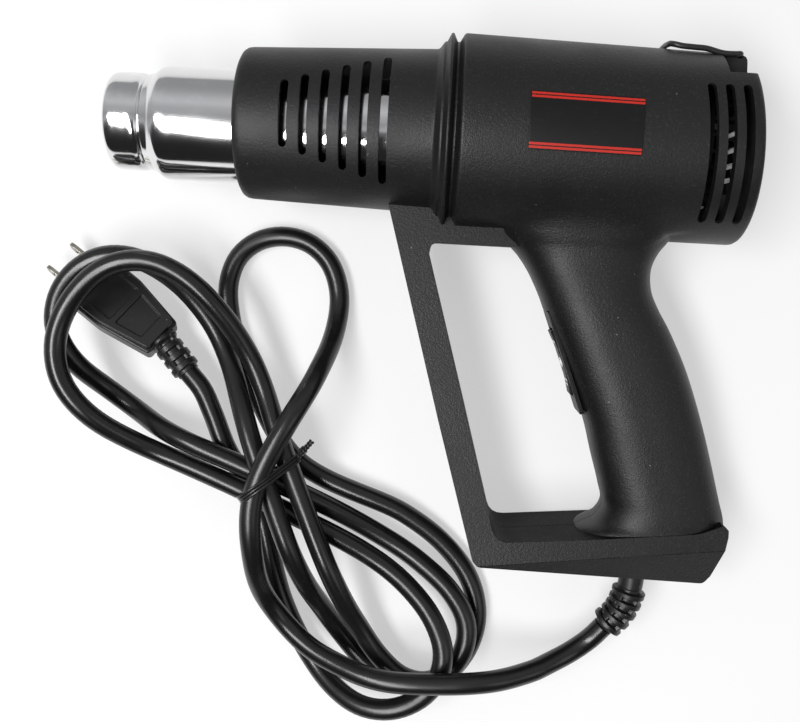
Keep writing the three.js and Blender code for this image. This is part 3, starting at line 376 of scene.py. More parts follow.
# %% Dust: scattered pale specks as a mask
dust_specks, given, out, place = effect("dust_specks", ["Specks per metre", "Size"], ["Mask"])
EMPTY_CELLS = 0.8
inputs = {"Vector": place, "Scale": given["Specks per metre"], "Randomness": 1}
cells = placed(dust_specks, "TexVoronoi", inputs)
chance = placed(dust_specks, "SeparateColor", {"Color": cells["Color"]})["Red"]
near = reckoned(dust_specks, "LESS_THAN", cells["Distance"], given["Size"])
rare = reckoned(dust_specks, "GREATER_THAN", chance, EMPTY_CELLS)
fed(dust_specks, out, {"Mask": reckoned(dust_specks, "MULTIPLY", near, rare)})
print("effect", dust_specks.name)

# %% [markdown]
# A finish is one Principled shader with these effects around it. Base colour goes between
# two near tones, roughness follows the handling cloud, and the grain drives a Bump node.
# The black plastic has the strongest grain: its peaks catch light as tiny sparkles. Where
# its mesh carries a mark, on the faces that look into the hand loop, it reflects less:
# that is painted shade.

# %% One maker for all the finishes
# Specular where the painted shade mark is full
PAINTED_SHADE_SPECULAR = 0.04


def finish(name, tones, roughness, metallic=0.0, grain=900, grain_depth=0.01, clouds=40,
           speck=None, specular=0.5, matt=None):
    """A procedural finish: two tones, a roughness range and a grain of some depth in mm."""
    material = bpy.data.materials.new(name)
    material.use_nodes = True
    tree = material.node_tree
    shader = tree.nodes["Principled BSDF"]
    inputs = {"Clouds per metre": clouds, "Low": roughness[0], "High": roughness[1]}
    rough = placed(tree, "Group", inputs, node_tree=handling)["Value"]
    pattern = placed(tree, "Group", {"Grains per metre": grain}, node_tree=mould_grain)
    colour = mixed(tree, pattern["Peaks"], *((*tone, 1) for tone in tones))
    if speck:
        inputs = {"Specks per metre": speck[0], "Size": speck[1]}
        mask = placed(tree, "Group", inputs, node_tree=dust_specks)["Mask"]
        colour = mixed(tree, mask, colour, (*speck[2], 1))
    # The mark lowers the specular towards a fixed value: painted shade.
    if matt:
        painted_shade_level = placed(tree, "Attribute", attribute_name=matt)["Fac"]
        inputs = {"Value": painted_shade_level, "To Min": specular, "To Max": PAINTED_SHADE_SPECULAR}
        specular = placed(tree, "MapRange", inputs)["Result"]
    fed(tree, shader, {"Base Color": colour, "Roughness": rough, "Metallic": metallic,
                       "Specular IOR Level": specular})
    if grain_depth:
        inputs = {"Strength": 1, "Distance": grain_depth * MM, "Height": pattern["Height"]}
        fed(tree, shader, {"Normal": placed(tree, "Bump", inputs)["Normal"]})
    return material


# %% Plastics and sheathing
grey = lambda v: (v, v, v)
# The black plastic reflects less on the faces inside the hand loop: painted shade.
black_plastic = finish("black_plastic", (grey(0.005), grey(0.022)), (0.42, 0.54), grain=2400,
                       grain_depth=0.15, specular=0.42, speck=(190, 0.045, grey(0.16)), matt="loop_painted_shade")
# This dark finish also stands as painted shade on the fan wheel.
switch_plastic = finish("switch_plastic", (grey(0.006), grey(0.012)), (0.4, 0.5), specular=0.14)
bezel_plastic = finish("bezel_plastic", (grey(0.014), grey(0.026)), (0.4, 0.5), specular=0.14)
cord_pvc = finish("cord_pvc", (grey(0.0065), grey(0.011)), (0.22, 0.34), grain=420, grain_depth=0.03,
                  clouds=25)
plug_pvc = finish("plug_pvc", (grey(0.0095), grey(0.018)), (0.34, 0.46), grain=1500,
                  grain_depth=0.02, speck=(240, 0.06, grey(0.18)))
black_wire = finish("black_wire", (grey(0.012), grey(0.02)), (0.3, 0.42))
# This white finish also gives four vane tips of the fan their painted highlight.
white_nylon = finish("white_nylon", (grey(0.78), grey(0.86)), (0.35, 0.5))
mark_white = finish("mark_white", (grey(0.82), grey(0.9)), (0.4, 0.55), grain_depth=0)
lead_red = finish("lead_red", ((0.32, 0.02, 0.02), (0.42, 0.035, 0.03)), (0.35, 0.5), grain=600)
print("plastics ready, the first is", black_plastic.name)

# %% Metals and insulators
chrome = finish("chrome", (grey(0.76), grey(0.82)), (0.09, 0.13), 1.0, grain=260, grain_depth=0,
                clouds=60)
bright_steel = finish("bright_steel", (grey(0.42), grey(0.52)), (0.26, 0.4), 1.0, grain=1200)
blade_metal = finish("blade_metal", ((0.36, 0.34, 0.29), (0.46, 0.44, 0.38)), (0.28, 0.42), 1.0,
                     grain=700)
heater_wire = finish("heater_wire", ((0.16, 0.14, 0.13), (0.24, 0.2, 0.17)), (0.4, 0.6), 1.0)
mica = finish("mica", ((0.42, 0.34, 0.22), (0.55, 0.47, 0.33)), (0.35, 0.55), grain=500,
              grain_depth=0.03)
ceramic = finish("ceramic", ((0.62, 0.57, 0.49), (0.75, 0.72, 0.65)), (0.5, 0.65), grain=1500,
                 grain_depth=0.02)
board_green = finish("board_green", ((0.02, 0.11, 0.035), (0.03, 0.16, 0.05)), (0.3, 0.45),
                     grain=300)
print(len(bpy.data.materials), "materials in the file")


# %% Plate with two pairs of lines
def lined_plate(name, line_colour, lines):
    """A satin finish with two lines at shares of the height of the UV map, mirrored."""
    material = finish(name, (grey(0.002), grey(0.005)), (0.42, 0.5), grain=700,
                      grain_depth=0.008, specular=0.3)
    tree = material.node_tree
    shader = tree.nodes["Principled BSDF"]
    up = placed(tree, "SeparateXYZ", {"Vector": placed(tree, "UVMap")["UV"]})["Y"]
    from_middle = reckoned(tree, "ABSOLUTE", reckoned(tree, "SUBTRACT", up, 0.5))
    from_edge = reckoned(tree, "SUBTRACT", 0.5, from_middle)
    bands = []
    for low, high in lines:
        above = reckoned(tree, "GREATER_THAN", from_edge, low)
        below = reckoned(tree, "LESS_THAN", from_edge, high)
        bands.append(reckoned(tree, "MULTIPLY", above, below))
    ground = shader.inputs["Base Color"].links[0].from_socket
    painted = mixed(tree, reckoned(tree, "ADD", *bands), ground, (*line_colour, 1))
    fed(tree, shader, {"Base Color": painted})
    return material


plate_finish = lined_plate("plate_finish", (0.5, 0.022, 0.012), [(0.022, 0.062), (0.082, 0.122)])
print("lines on", plate_finish.name)


# %% Dressing a piece
def dressed(piece, material, node=None, body="tool"):
    """Gives a piece its finish and its body, and hides the CAD node it replaces."""
    piece.data.materials.clear()
    piece.data.materials.append(material)
    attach(piece, body)
    if node:
        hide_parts(node)
    print(piece.name, "in", material.name, "rides on the", body)


# %% [markdown]
# ## The lead and its route
# The lead is one unbroken length of 8 mm sheathed cable. It leaves the foot, runs along
# the ground, and is folded back and forth into a hank of six lobes that cross at a waist,
# where a wire tie holds it. Each lobe is half of a figure of eight with its own direction
# and reach, so it is a formula, and the runs before and after the hank are short lists of
# points. The numbers are the same as those of the CAD lead.

# %% Smooth lines and round wires
def smooth_curve(points, t):
    """Points of a centripetal Catmull-Rom curve at the parameters t, from 0 to 1."""
    p = np.asarray(points, float)
    p = np.vstack([2 * p[0] - p[1], p, 2 * p[-1] - p[-2]])
    spans = len(p) - 3
    at = np.clip(np.asarray(t, float), 0, 1) * spans
    i = np.minimum(at.astype(int), spans - 1)
    w = (at - i)[:, None]
    a, b, c, d = p[i], p[i + 1], p[i + 2], p[i + 3]
    step = lambda u, v: np.sqrt(np.linalg.norm(v - u, axis=1))[:, None]
    k0, k1, k2 = step(a, b), step(b, c), step(c, d)
    m1 = ((b - a) / k0 - (c - a) / (k0 + k1) + (c - b) / k1) * k1
    m2 = ((c - b) / k1 - (d - b) / (k1 + k2) + (d - c) / k2) * k1
    return (b + m1 * w + (3 * (c - b) - 2 * m1 - m2) * w ** 2 + (2 * (b - c) + m1 + m2) * w ** 3)


def travelled(points):
    """Distance along a line of points, from 0 at its start."""
    return np.concatenate([[0], np.cumsum(np.linalg.norm(np.diff(points, axis=0), axis=1))])


def round_curve(name, points, radius, bevel):
    """A curve object with a round section, along points in metres."""
    curve = bpy.data.curves.new(name, "CURVE")
    curve.dimensions = "3D"
    curve.bevel_depth = radius * MM
    curve.bevel_resolution = bevel
    curve.use_fill_caps = True
    spline = curve.splines.new("POLY")
    spline.points.add(len(points) - 1)
    for knot, point in zip(spline.points, points):
        knot.co = (*point, 1)
    spline.use_smooth = True
    piece = bpy.data.objects.new(name, curve)
    bpy.context.collection.objects.link(piece)
    return piece


def wire(name, points, radius, bevel=3):
    """A round wire along points in millimetres, turned into a mesh."""
    only(round_curve(name, [Vector(point) * MM for point in points], radius, bevel))
    bpy.ops.object.convert(target="MESH")
    return bpy.context.object


# %% Strain relief line, which the lead continues
SOLE_Y, RELIEF_X = -160, 201
# steps from the middle of the hole in the sole
relief_steps = [(0, 5, 0), (0, -2, 0), (-0.8, -9, -0.3), (-3.6, -16.8, -1), (-8.6, -23.2, -2)]
relief_route = [(RELIEF_X + x, SOLE_Y + y, z) for x, y, z in relief_steps]
relief_end, relief_before = smooth_curve(relief_route, [1.0, 0.9999])
roll_turn = np.array(Matrix.Rotation(ROLL, 3, "X"))
lead_start = roll_turn @ relief_end + (0, 0, AXIS_HEIGHT)
lead_way = roll_turn @ (relief_end - relief_before)
lead_way /= np.linalg.norm(lead_way)
print("the lead leaves its strain relief at", np.round(lead_start, 1))

# %% Lobes of the hank
CORD_D, FIT = 8.0, 0.3
CORD_R = CORD_D / 2
CORD_LOW, WAIST_LOW = CORD_R + FIT, CORD_R + 3.0
WAIST = np.array((59.5, -132.2))
TIE_ALONG = np.array((0.774, 0.633))
SLOT = 10.4
LOBE_START, LOBE_SPAN, LOBE_STEPS = 0.07, 0.86, 12
# turn in degrees, reach, half widths of the leg out and the leg back, and fullness of the tip
upper = (91, 95, -24, -24, 0)
low_1 = (-45.7, 106.5, 29.5, 23, 0)
left_1 = (135.5, 107.5, -25, -26, 0)
low_2 = (-45, 104, 22, 18, 0.08)
left_2 = (132, 99.5, -24, -33, 0)
low_3 = (-52, 103, 24, 27, 0)
# slot at the waist, order in the stack there, lobe that follows, and its orders
passes = [(-0.25, 9, upper, (9, 0, 0)), (1, 0.2, low_1, (0.2, 0.2, 5)),
          (0, 5, left_1, (5, 0.45, 0.4)), (0, 0.4, low_2, (0.4, 0.4, 6)),
          (1, 6, left_2, (6, 7, 0.6)), (-1, 0.6, low_3, (0.6, 0.6, 0.5)), (-1, 0.1, None, None)]


def lobe_points(form, slots, orders):
    """Rows of x, y, height and order along one lobe."""
    turn, reach, out, back, full = form
    a = math.radians(turn)
    axis, side = np.array((math.cos(a), math.sin(a))), np.array((-math.sin(a), math.cos(a)))
    rows = []
    for i in range(1, LOBE_STEPS):
        t = LOBE_START + LOBE_SPAN * i / LOBE_STEPS
        away = math.sin(math.pi * t)
        wave = math.sin(2 * math.pi * t) - full * math.sin(4 * math.pi * t)
        across = (out if t < 0.5 else back) * wave
        slot = (slots[0] if t < 0.5 else slots[1]) * SLOT * (1 - away)
        order = orders[0] if t < 0.2 else orders[1] if t < 0.8 else orders[2]
        x, y = WAIST + axis * reach * away + side * across + TIE_ALONG * slot
        rows.append((x, y, CORD_LOW, order))
    return rows


hank = []
for i, (slot, order, form, orders) in enumerate(passes):
    hank.append((*(WAIST + TIE_ALONG * slot * SLOT), WAIST_LOW, order))
    if form:
        hank += lobe_points(form, (slot, passes[i + 1][0]), orders)
print(len(hank), "points in the hank")

# %% The whole route
lead_in = [(181, -193.4, 12.4), (172.2, -197.6, 13.4), (162.3, -200.6, 16)]
lead_in += [(x, y, CORD_LOW) for x, y in (
    (143, -203), (124.1, -204.5), (107, -204.8), (93.4, -202.5), (79, -197.3), (69, -189.5),
    (60.4, -176.5), (57.4, -160))]
PLUG_REAR = np.array((13.5, -81.8))
PLUG_TURN, PLUG_ROLL, NECK_BEND = math.radians(144.2), math.radians(20), math.radians(-12)
PLUG_NECK, PLUG_LENGTH, PLUG_HEIGHT, PLUG_FRONT = 16, 37.5, 15, 24.5
PLUG_MID_Z = (PLUG_HEIGHT * math.cos(PLUG_ROLL) + PLUG_FRONT * math.sin(PLUG_ROLL)) / 2 + FIT
BLADE_SPACING, BLADE_LENGTH = 12.7, 16
plug_axis = np.array((math.cos(PLUG_TURN), math.sin(PLUG_TURN)))
plug_side = np.array((-plug_axis[1], plug_axis[0]))


def neck_point(d):
    """Point on the line of the bent neck, a distance behind the body of the plug."""
    x, y = -d * math.cos(NECK_BEND), -d * math.sin(NECK_BEND)
    across = plug_side * y * math.cos(PLUG_ROLL)
    return (*(PLUG_REAR + plug_axis * x + across), PLUG_MID_Z + y * math.sin(PLUG_ROLL))


FIRST, LAST = 9, 0.1
route = [(*(lead_start + lead_way * d), FIRST) for d in (FIT, CORD_D)]
route += [(*point, FIRST) for point in lead_in] + hank
route += [(42.6, -126, 4.8, LAST), (38.2, -117.4, 7.6, LAST), (34.2, -108.2, 11.4, LAST)]
route += [(*neck_point(PLUG_NECK + FIT + d), LAST) for d in (CORD_D, 0)]
route = np.array(route)

SAMPLE, FINE_STEPS = 2.5, 4001
fine = np.linspace(0, 1, FINE_STEPS)
run_length = travelled(smooth_curve(route[:, :3], fine))
count = round(run_length[-1] / SAMPLE)
even = np.interp(np.linspace(0, run_length[-1], count + 1), run_length, fine)
strand = smooth_curve(route[:, :3], even)
strand_order = route[np.floor(even * (len(route) - 1) + 0.5).astype(int), 3]
print(len(strand), "even points on the lead")

# %% [markdown]
# Where the lead crosses itself, the upper strand has to climb over the lower one. Each
# pair of points that comes closer than one diameter gives a rise, the heights are raised
# until every rise is met, and then they are eased along the lead, so that a crossing is a
# long low hump. The plug is an obstacle of the same kind.

# %% Heights at the crossings
EASE, NEIGHBOURS, ROUNDS = 5, 10, 40
CROSSING_GAP, END_EASE, PLUG_TAIL = 0.6, 24, 60
BLADE_SIDE, BLADE_TOP = 1.5, 5.2


def plug_top(points):
    """Height that the plug and its blades need below each point, or 0."""
    away = points[:, :2] - PLUG_REAR
    along, across = away @ plug_axis, np.abs(away @ plug_side)

    def within(length, half):
        return (along > -CORD_R) & (along < length + CORD_R) & (across < half + CORD_R)

    on_blades = within(PLUG_LENGTH + BLADE_LENGTH, BLADE_SPACING / 2 + BLADE_SIDE)
    blades = np.where(on_blades, PLUG_MID_Z + BLADE_TOP, 0)
    return np.where(within(PLUG_LENGTH, PLUG_FRONT / 2), 2 * PLUG_MID_Z - FIT, blades)


def window(values, pick, ease=EASE):
    """Applies pick to the values within a few samples of each one."""
    return np.array([pick(values[max(i - ease, 0):i + ease + 1]) for i in range(len(values))])


def stacked(points, order):
    """The same points with the heights that the crossings need."""
    reach = CORD_D + CROSSING_GAP
    index = np.arange(len(points))
    apart = np.linalg.norm(points[:, None, :2] - points[None, :, :2], axis=2)
    i, j = np.nonzero((apart < reach) & (np.subtract.outer(index, index) > NEIGHBOURS))
    rise = np.sqrt(reach ** 2 - apart[i, j] ** 2)
    top = order[i] >= order[j]
    over, under = np.where(top, i, j), np.where(top, j, i)
    from_end = np.minimum(index, index[::-1]) * SAMPLE
    below = np.where(index[::-1] * SAMPLE > PLUG_TAIL, plug_top(points), 0)
    least = np.maximum(points[:, 2], np.where(below > 0, below + CORD_R + FIT, 0))
    share = np.clip((from_end - CORD_D) / END_EASE, 0, 1)
    height = least.copy()
    for _ in range(ROUNDS):
        need = least.copy()
        np.maximum.at(need, over, height[under] + rise)
        high = window(need, np.max, 2 * EASE)
        height = least + (window(window(high, np.mean), np.mean) - least) * share
    return np.column_stack([points[:, :2], height])


strand = stacked(strand, strand_order)

# %% The lead as a curve
lead_points = [GROUND_PLACE @ (Vector(point) * MM) for point in strand]
power_lead = round_curve("power_lead", lead_points, CORD_R, bevel=8)
dressed(power_lead, cord_pvc, "power_cord")

# %% [markdown]
# ## The wire tie
# A thin plastic-coated wire is wound round the waist of the hank and twisted. Its path is
# the tight outline round the seven strands: each strand is cut by the plane of the tie, the
# cut is an ellipse, and the outermost points of all the ellipses in every direction make a
# closed line that a stretched wire would follow. The wire goes round almost three times.

# %% Tie round the waist
TIE_WIRE_R, TIE_GAP, CUT_SIDES = 0.55, 0.1, 48
tie_across = np.array((-TIE_ALONG[1], TIE_ALONG[0]))
tie_cut = []
for before, after in zip(strand[:-1], strand[1:]):
    v0, v1 = (before[:2] - WAIST) @ tie_across, (after[:2] - WAIST) @ tie_across
    s = (after[:2] - WAIST) @ TIE_ALONG
    if v0 * v1 <= 0 and abs(s) < 2 * SLOT:
        way = (after - before) / np.linalg.norm(after - before)
        through = abs(way[:2] @ tie_across)
        lean = np.array((way[:2] @ TIE_ALONG, way[2]))
        lean = lean / max(np.linalg.norm(lean), 1e-6)
        flat = np.array((-lean[1], lean[0]))
        for a in np.linspace(0, 2 * math.pi, CUT_SIDES, endpoint=False):
            edge = lean * math.cos(a) * CORD_R / through + flat * math.sin(a) * CORD_R
            tie_cut.append(np.array((s, after[2])) + edge)
tie_cut = np.array(tie_cut)


def tie_point(a, v):
    """A point of the tie in the direction a, shifted v across its plane."""
    toward = np.array((math.cos(a), math.sin(a)))
    s, z = tie_cut[np.argmax(tie_cut @ toward)] + toward * (TIE_WIRE_R + TIE_GAP)
    x, y = WAIST + TIE_ALONG * s + tie_across * v
    return (x, y, max(z, TIE_WIRE_R + FIT))


TIE_START, TIE_TURNS, TIE_STEPS = 0.3, 2.95, 260
TIE_SHIFT, TIE_WIDTH = -1.5, 3.2
tie_turns = np.linspace(TIE_START, TIE_START + TIE_TURNS * 2 * math.pi, TIE_STEPS)
tie_line = [tie_point(a, TIE_SHIFT + TIE_WIDTH * i / (TIE_STEPS - 1)) for i, a in enumerate(tie_turns)]
tie_ring = wire("tie_ring", tie_line, TIE_WIRE_R)
print("the tie goes round", len(tie_cut) // CUT_SIDES, "strands")

# %% Twisted ends of the tie
TAIL_LENGTH, TAIL_TWISTS, TAIL_R, TAIL_STEPS = 8, 3, 0.6, 60
tail_from = np.array(tie_point(TIE_START, 0)) + (0.2, 0.2, 0.6)
tail_way = np.array((0.62, 0.78, -0.05)) / np.linalg.norm((0.62, 0.78, -0.05))
tail_side = np.cross(tail_way, (0, 0, 1))
tail_side /= np.linalg.norm(tail_side)
tail_up = np.cross(tail_side, tail_way)
tails = []
for start in (0, math.pi):
    line = []
    for t in np.linspace(0, 1, TAIL_STEPS):
        a = start + t * TAIL_TWISTS * 2 * math.pi
        off = (tail_side * math.cos(a) + tail_up * math.sin(a)) * TAIL_R
        line.append(tail_from + tail_way * TAIL_LENGTH * t + off)
    tails.append(wire("tie_tail", line, TIE_WIRE_R))
wire_tie = settle(joined("wire_tie", [tie_ring, *tails]), GROUND_PLACE)
dressed(shade(wire_tie), black_wire, "cord_tie")

# %% [markdown]
# ## The two shells
# Housing, grip, hand guard and foot are one moulding, split down the middle. The outside
# is built as one solid first: the barrel and the housing are turned, the guard is cut
# out, the grip is skinned, and two booleans join them. Later steps hollow it and split it,
# which keeps the outside of the two halves in line.

# %% Radii of the barrel and the housing
BARREL_X, BARREL_R = (47, 116.4), (26.8, 29)
HOUSING_X, HOUSING_R = (125.3, 226.4), (34.7, 33.1)
HOUSING_DROP = 0.0165
REAR_X, REAR_LEAN, LEAN_FROM, LEAN_SPAN = 224.4, math.tan(math.radians(3.6)), 190, 13
WALL = 2.5


def barrel_r(x):
    return np.interp(x, BARREL_X, BARREL_R)


def housing_r(x):
    return np.interp(x, HOUSING_X, HOUSING_R)


def housing_low(x):
    """How far the axis of the housing drops behind the collar."""
    return HOUSING_DROP * np.maximum(x - HOUSING_X[0], 0)


def leaned(piece):
    """Shears the rear end, so that its face leans."""
    for corner in piece.data.vertices:
        share = min(max((corner.co.x / MM - LEAN_FROM) / LEAN_SPAN, 0), 1)
        corner.co.x -= REAR_LEAN * corner.co.y * share
    return piece


def divided(points, step):
    """Adds points to the long straight parts of a line."""
    line = []
    for a, b in zip(points, points[1:]):
        count = max(1, math.ceil(math.dist(a, b) / step))
        line += [tuple(u + (v - u) * k / count for u, v in zip(a, b)) for k in range(count)]
    return line + [points[-1]]


# %% Barrel and housing
body_corners = [(BARREL_X[0], 0, 0), (BARREL_X[0], BARREL_R[0], 3.4), (BARREL_X[1], BARREL_R[1], 1.5),
                (118.3, 31.6, 0.7), (119, 31.6, 0.6), (120.5, 34.6, 0.7), (121.3, 34.6, 0.7),
                (122.7, 31.6, 0.7), (123.5, 31.6, 0.6), (HOUSING_X[0], HOUSING_R[0], 1.4),
                (REAR_X, HOUSING_R[1], 2.2), (REAR_X, 0, 0)]
outside = leaned(turned("outside", divided(rounded(body_corners), 2.2), steps=176))
for corner in outside.data.vertices:
    corner.co.y -= housing_low(corner.co.x / MM) * MM
print("barrel and housing:", len(outside.data.polygons), "faces")


# %% Hand guard and foot
def guard_half(y):
    """Half the width of the guard, which grows towards the foot."""
    return 7.6 - 0.0775 * y


guard_corners = [(98, -4, 0), (101.3, -27.2, 0), (123.4, -102.8, 30), (138.9, -153.6, 3),
                 (141.2, -155.8, 3), (225.2, -159.8, 2), (227, -156, 3), (229.8, -139, 1.5),
                 (229.8, -136.4, 1.2), (228.1, -134.7, 1), (219.4, -138.3, 20), (184.1, -142.4, 30),
                 (146.7, -146.3, 6.5), (133.9, -102.2, 30), (116.6, -43.6, 3), (117.3, -39.7, 2.5),
                 (168, -39.8, 0), (168, -4, 0)]
guard = cut_out("guard", rounded(guard_corners), -1, 1)
for corner in guard.data.vertices:
    corner.co.z *= guard_half(corner.co.y / MM)
# a flat face along the foot on either side, through three points
chamfer_front = Vector((140.6, -155.2, guard_half(-155.2)))
chamfer_rear = Vector((226.5, -144, guard_half(-144)))
chamfer_sole = Vector((226, -160, 9))
chamfer_out = (chamfer_rear - chamfer_front).cross(chamfer_sole - chamfer_rear).normalized()
chamfer_out *= math.copysign(1, chamfer_out.z)
for side in (1, -1):
    mirror = Matrix.Diagonal((1, 1, side))
    slice_off = lambda: bpy.ops.mesh.bisect(plane_co=mirror @ chamfer_rear * MM,
                                            plane_no=mirror @ chamfer_out,
                                            use_fill=True, clear_outer=True)
    in_edit_mode(guard, slice_off)
softened(guard, 0.9, segments=3, angle=30)
print("guard:", len(guard.data.polygons), "faces")

# %% Grip
# front x and y, rear x and y, and half width of each section, from the housing down
grip_table = [(139, -24, 206, -24, 21), (141, -34, 203, -34, 20), (145.4, -38.6, 199.4, -39.4, 18.6),
              (149.4, -42.6, 197.4, -45, 18), (153.6, -48.4, 198, -52.4, 17.8),
              (157.8, -56.2, 201, -59, 17.8), (161.2, -64, 205.6, -66.4, 17.8),
              (167.2, -77, 212.4, -79.4, 17.8), (173, -90, 217.4, -91.5, 17.8),
              (178.4, -103, 222.2, -105, 17.8), (182, -115, 226, -117, 17.8),
              (185.8, -127, 229.4, -128.4, 18), (187.2, -133.4, 231.2, -134, 18.2),
              (184.4, -138.6, 232, -138.2, 18.2), (178, -142.6, 232, -142.4, 18),
              (178, -148, 230.4, -148, 15)]
GRIP_POWER, GRIP_ROWS = 2.7, 96


def grip_ring(section, inset=0.0, count=104):
    """One section of the grip: a rounded oblong across it."""
    front, rear, half = np.array(section[:2]), np.array(section[2:4]), section[4]
    along = (rear - front) / np.linalg.norm(rear - front)
    a = 2 * np.pi * np.arange(count) / count
    power = lambda v: np.sign(v) * np.abs(v) ** (2 / GRIP_POWER)
    reach = np.linalg.norm(rear - front) / 2 - inset
    line = (front + rear) / 2 + np.outer(reach * power(np.cos(a)), along)
    return np.column_stack([line, (half - inset) * power(np.sin(a))])


grip_line = smooth_curve(grip_table, np.linspace(0, 1, GRIP_ROWS))
grip = skinned("grip", [grip_ring(section) for section in grip_line])
print("grip:", len(grip.data.polygons), "faces")

# %% [markdown]
# The joined solid has a hard crease where the grip runs into the housing, and a moulding
# has none. Both forms can be written as distances, so a rounded minimum of the two
# distances describes the housing with a fillet, and each point near the crease is moved
# straight out until it lies on that surface. A bevel would stumble over the many short
# edges of a boolean.

# %% Join, then fill the crease
combined(outside, guard, "UNION")
combined(outside, grip, "UNION")
in_edit_mode(outside, lambda: bpy.ops.mesh.remove_doubles(threshold=0.08 * MM))
grip_side = smooth_curve(grip_table, np.linspace(0, 1, 200))
CREASE_X, CREASE_Y, CREASE_Z, CREASE_EASE = (128, 222), (-62, 0), 11, 5
FILLET, LEAST_FILLET, FILL_ROUNDS, NUDGE, LONGEST_PUSH = 6.0, 0.3, 12, 0.01, 1.5


def blended_distance(p, width):
    """Distance outside the housing and the grip, joined by a fillet of that width."""
    x, y, z = p.T
    to_housing = np.hypot(y + housing_low(x), z) - housing_r(x)
    row = lambda k, at: np.interp(-y, -grip_side[:, at], grip_side[:, k])
    front, rear, half = row(0, 1), row(2, 3), row(4, 1)
    u, w = (2 * x - front - rear) / (rear - front), z / half
    oblong = (np.abs(u) ** GRIP_POWER + np.abs(w) ** GRIP_POWER) ** (1 / GRIP_POWER)
    to_grip = (oblong - 1) * half
    near = np.clip(1 - np.abs(to_housing - to_grip) / width, 0, 1)
    return np.minimum(to_housing, to_grip) - near ** 2 * width / 4


def fill_crease(piece):
    """Moves the points near the crease out to the fillet, and returns their number."""
    co = np.empty(len(piece.data.vertices) * 3)
    piece.data.vertices.foreach_get("co", co)
    points = co.reshape(-1, 3) / MM
    x, y, z = points.T
    picked = (x > CREASE_X[0]) & (x < CREASE_X[1]) & (y > CREASE_Y[0]) & (y < CREASE_Y[1])
    picked &= np.abs(z) > CREASE_Z
    p = points[picked]
    ease = np.clip((np.abs(p[:, 2]) - CREASE_Z) / CREASE_EASE, 0, 1)
    room = LEAST_FILLET + FILLET * ease * ease * (3 - 2 * ease)
    for _ in range(FILL_ROUNDS):
        d = blended_distance(p, room)
        slope = [blended_distance(p + nudge, room) - d for nudge in np.eye(3) * NUDGE]
        slope = np.column_stack(slope) / NUDGE
        push = np.clip(-d / np.maximum((slope ** 2).sum(axis=1), 0.3), 0, LONGEST_PUSH)
        p = p + slope * push[:, None]
    points[picked] = p
    piece.data.vertices.foreach_set("co", (points * MM).reshape(-1))
    return len(p)


print(fill_crease(outside), "points near the crease,", len(outside.data.polygons), "faces outside")

# %% [markdown]
# The inside follows the outside one wall thickness in. Screw posts run from wall to wall,
# so their rods are taken out of the hollow before the hollow is taken out of the solid,
# and no two faces have to coincide. All the openings are cutters that don't touch each
# other, so they are joined and taken away in one boolean, and a second one takes those
# that lie inside the first.

# %% Hollow inside
FAR = 60
hollow_profile = [(51, 0), (51, 24.4), (116.4, 26.5), (120.4, 29.1), (125.3, 29.1), (128.3, 32.15),
                  (190, 31.2), (203, 30.6), (221.9, 30), (221.9, 0)]
hollow = leaned(turned("hollow", hollow_profile, steps=72))
# solid stays for the lug of the bail and for the pockets beside it
for low, high in (((210.5, 22.6, -FAR), (300, 60, FAR)), ((210.5, 19.8, 10.2), (300, 50, FAR)),
                  ((210.5, 19.8, -FAR), (300, 50, -10.2))):
    combined(hollow, block("lug_room", low, high), "DIFFERENCE")
inner_table = [(139, -12, 206, -12, 21)] + grip_table[:-1] + [(184, -155, 226, -155, 14)]
inner_grip = skinned("inner_grip", [grip_ring(section, WALL, 40) for section in inner_table])
combined(hollow, inner_grip, "UNION")
print("hollow:", len(hollow.data.polygons), "faces")

# %% Screw posts
# x, y and the depth at which the head sits
SCREWS = [(136, 25.5, -14), (199, 24.5, -14), (112.5, -33.5, -6), (190, -25.5, -14),
          (127, -103, -9), (145, -150.6, -12), (217, -121, -9)]
CLAMPS = [(RELIEF_X + side * 8, -140) for side in (-1, 1)]


def upright(name, x, y, low, high, radius, sides):
    """A rod across the tool."""
    return rod(name, (x, y, low), (x, y, high), radius, sides)


posts = [upright("post", x, y, -FAR, FAR, 4.4, 24) for x, y, seat in SCREWS]
posts += [upright("post", x, y, -FAR, 0, 3, 20) for x, y in CLAMPS]
combined(hollow, joined("posts", posts), "DIFFERENCE")
combined(outside, hollow, "DIFFERENCE")
print("hollowed shell:", len(outside.data.polygons), "faces")


# %% Screw bores and air slots
def slot_outline(x, low, high, width, lean=0.0):
    """An upright slot with round ends."""
    r = width / 2
    ends = [(a, high - r) for a in np.linspace(0, math.pi, 9)]
    ends += [(a, low + r) for a in np.linspace(math.pi, 2 * math.pi, 9)]
    points = [(x + r * math.cos(a), y + r * math.sin(a)) for a, y in ends]
    return [(px - lean * py, py) for px, py in points]


def at_screw(x, y, z=0):
    """Turns a piece from the barrel axis to that of a screw."""
    return Matrix.Translation((x * MM, y * MM, z * MM)) @ Matrix.Rotation(math.radians(-90), 4, "Y")


cutters = []
for x, y, seat in SCREWS:
    profile = [(-FAR, 0), (-FAR, 3.4), (seat, 3.4), (seat, 1.8), (8, 1.8), (8, 0)]
    cutters.append(settle(turned("bore", profile, steps=24), at_screw(x, y)))
VENTS, VENT_X, VENT_STEP, VENT_WIDTH = 6, 65, 6.85, 2.8
for i in range(VENTS):
    x, t = VENT_X + VENT_STEP * i, i / (VENTS - 1)
    high = barrel_r(x) * math.sin(math.radians(26.8 + 24.7 * t))
    low = -barrel_r(x) * math.sin(math.radians(21.8 + 24.3 * t))
    cutters.append(cut_out("vent", slot_outline(x, low, high, VENT_WIDTH), -40, 40))
REAR_SLOTS, SLOT_X, SLOT_STEP, SLOT_WIDTH, FAR_SHORTER = 3, 207.2, 5.85, 2.9, 7
rear_low, rear_high = (HOUSING_R[1] * math.sin(math.radians(a)) for a in (-58, 30.5))
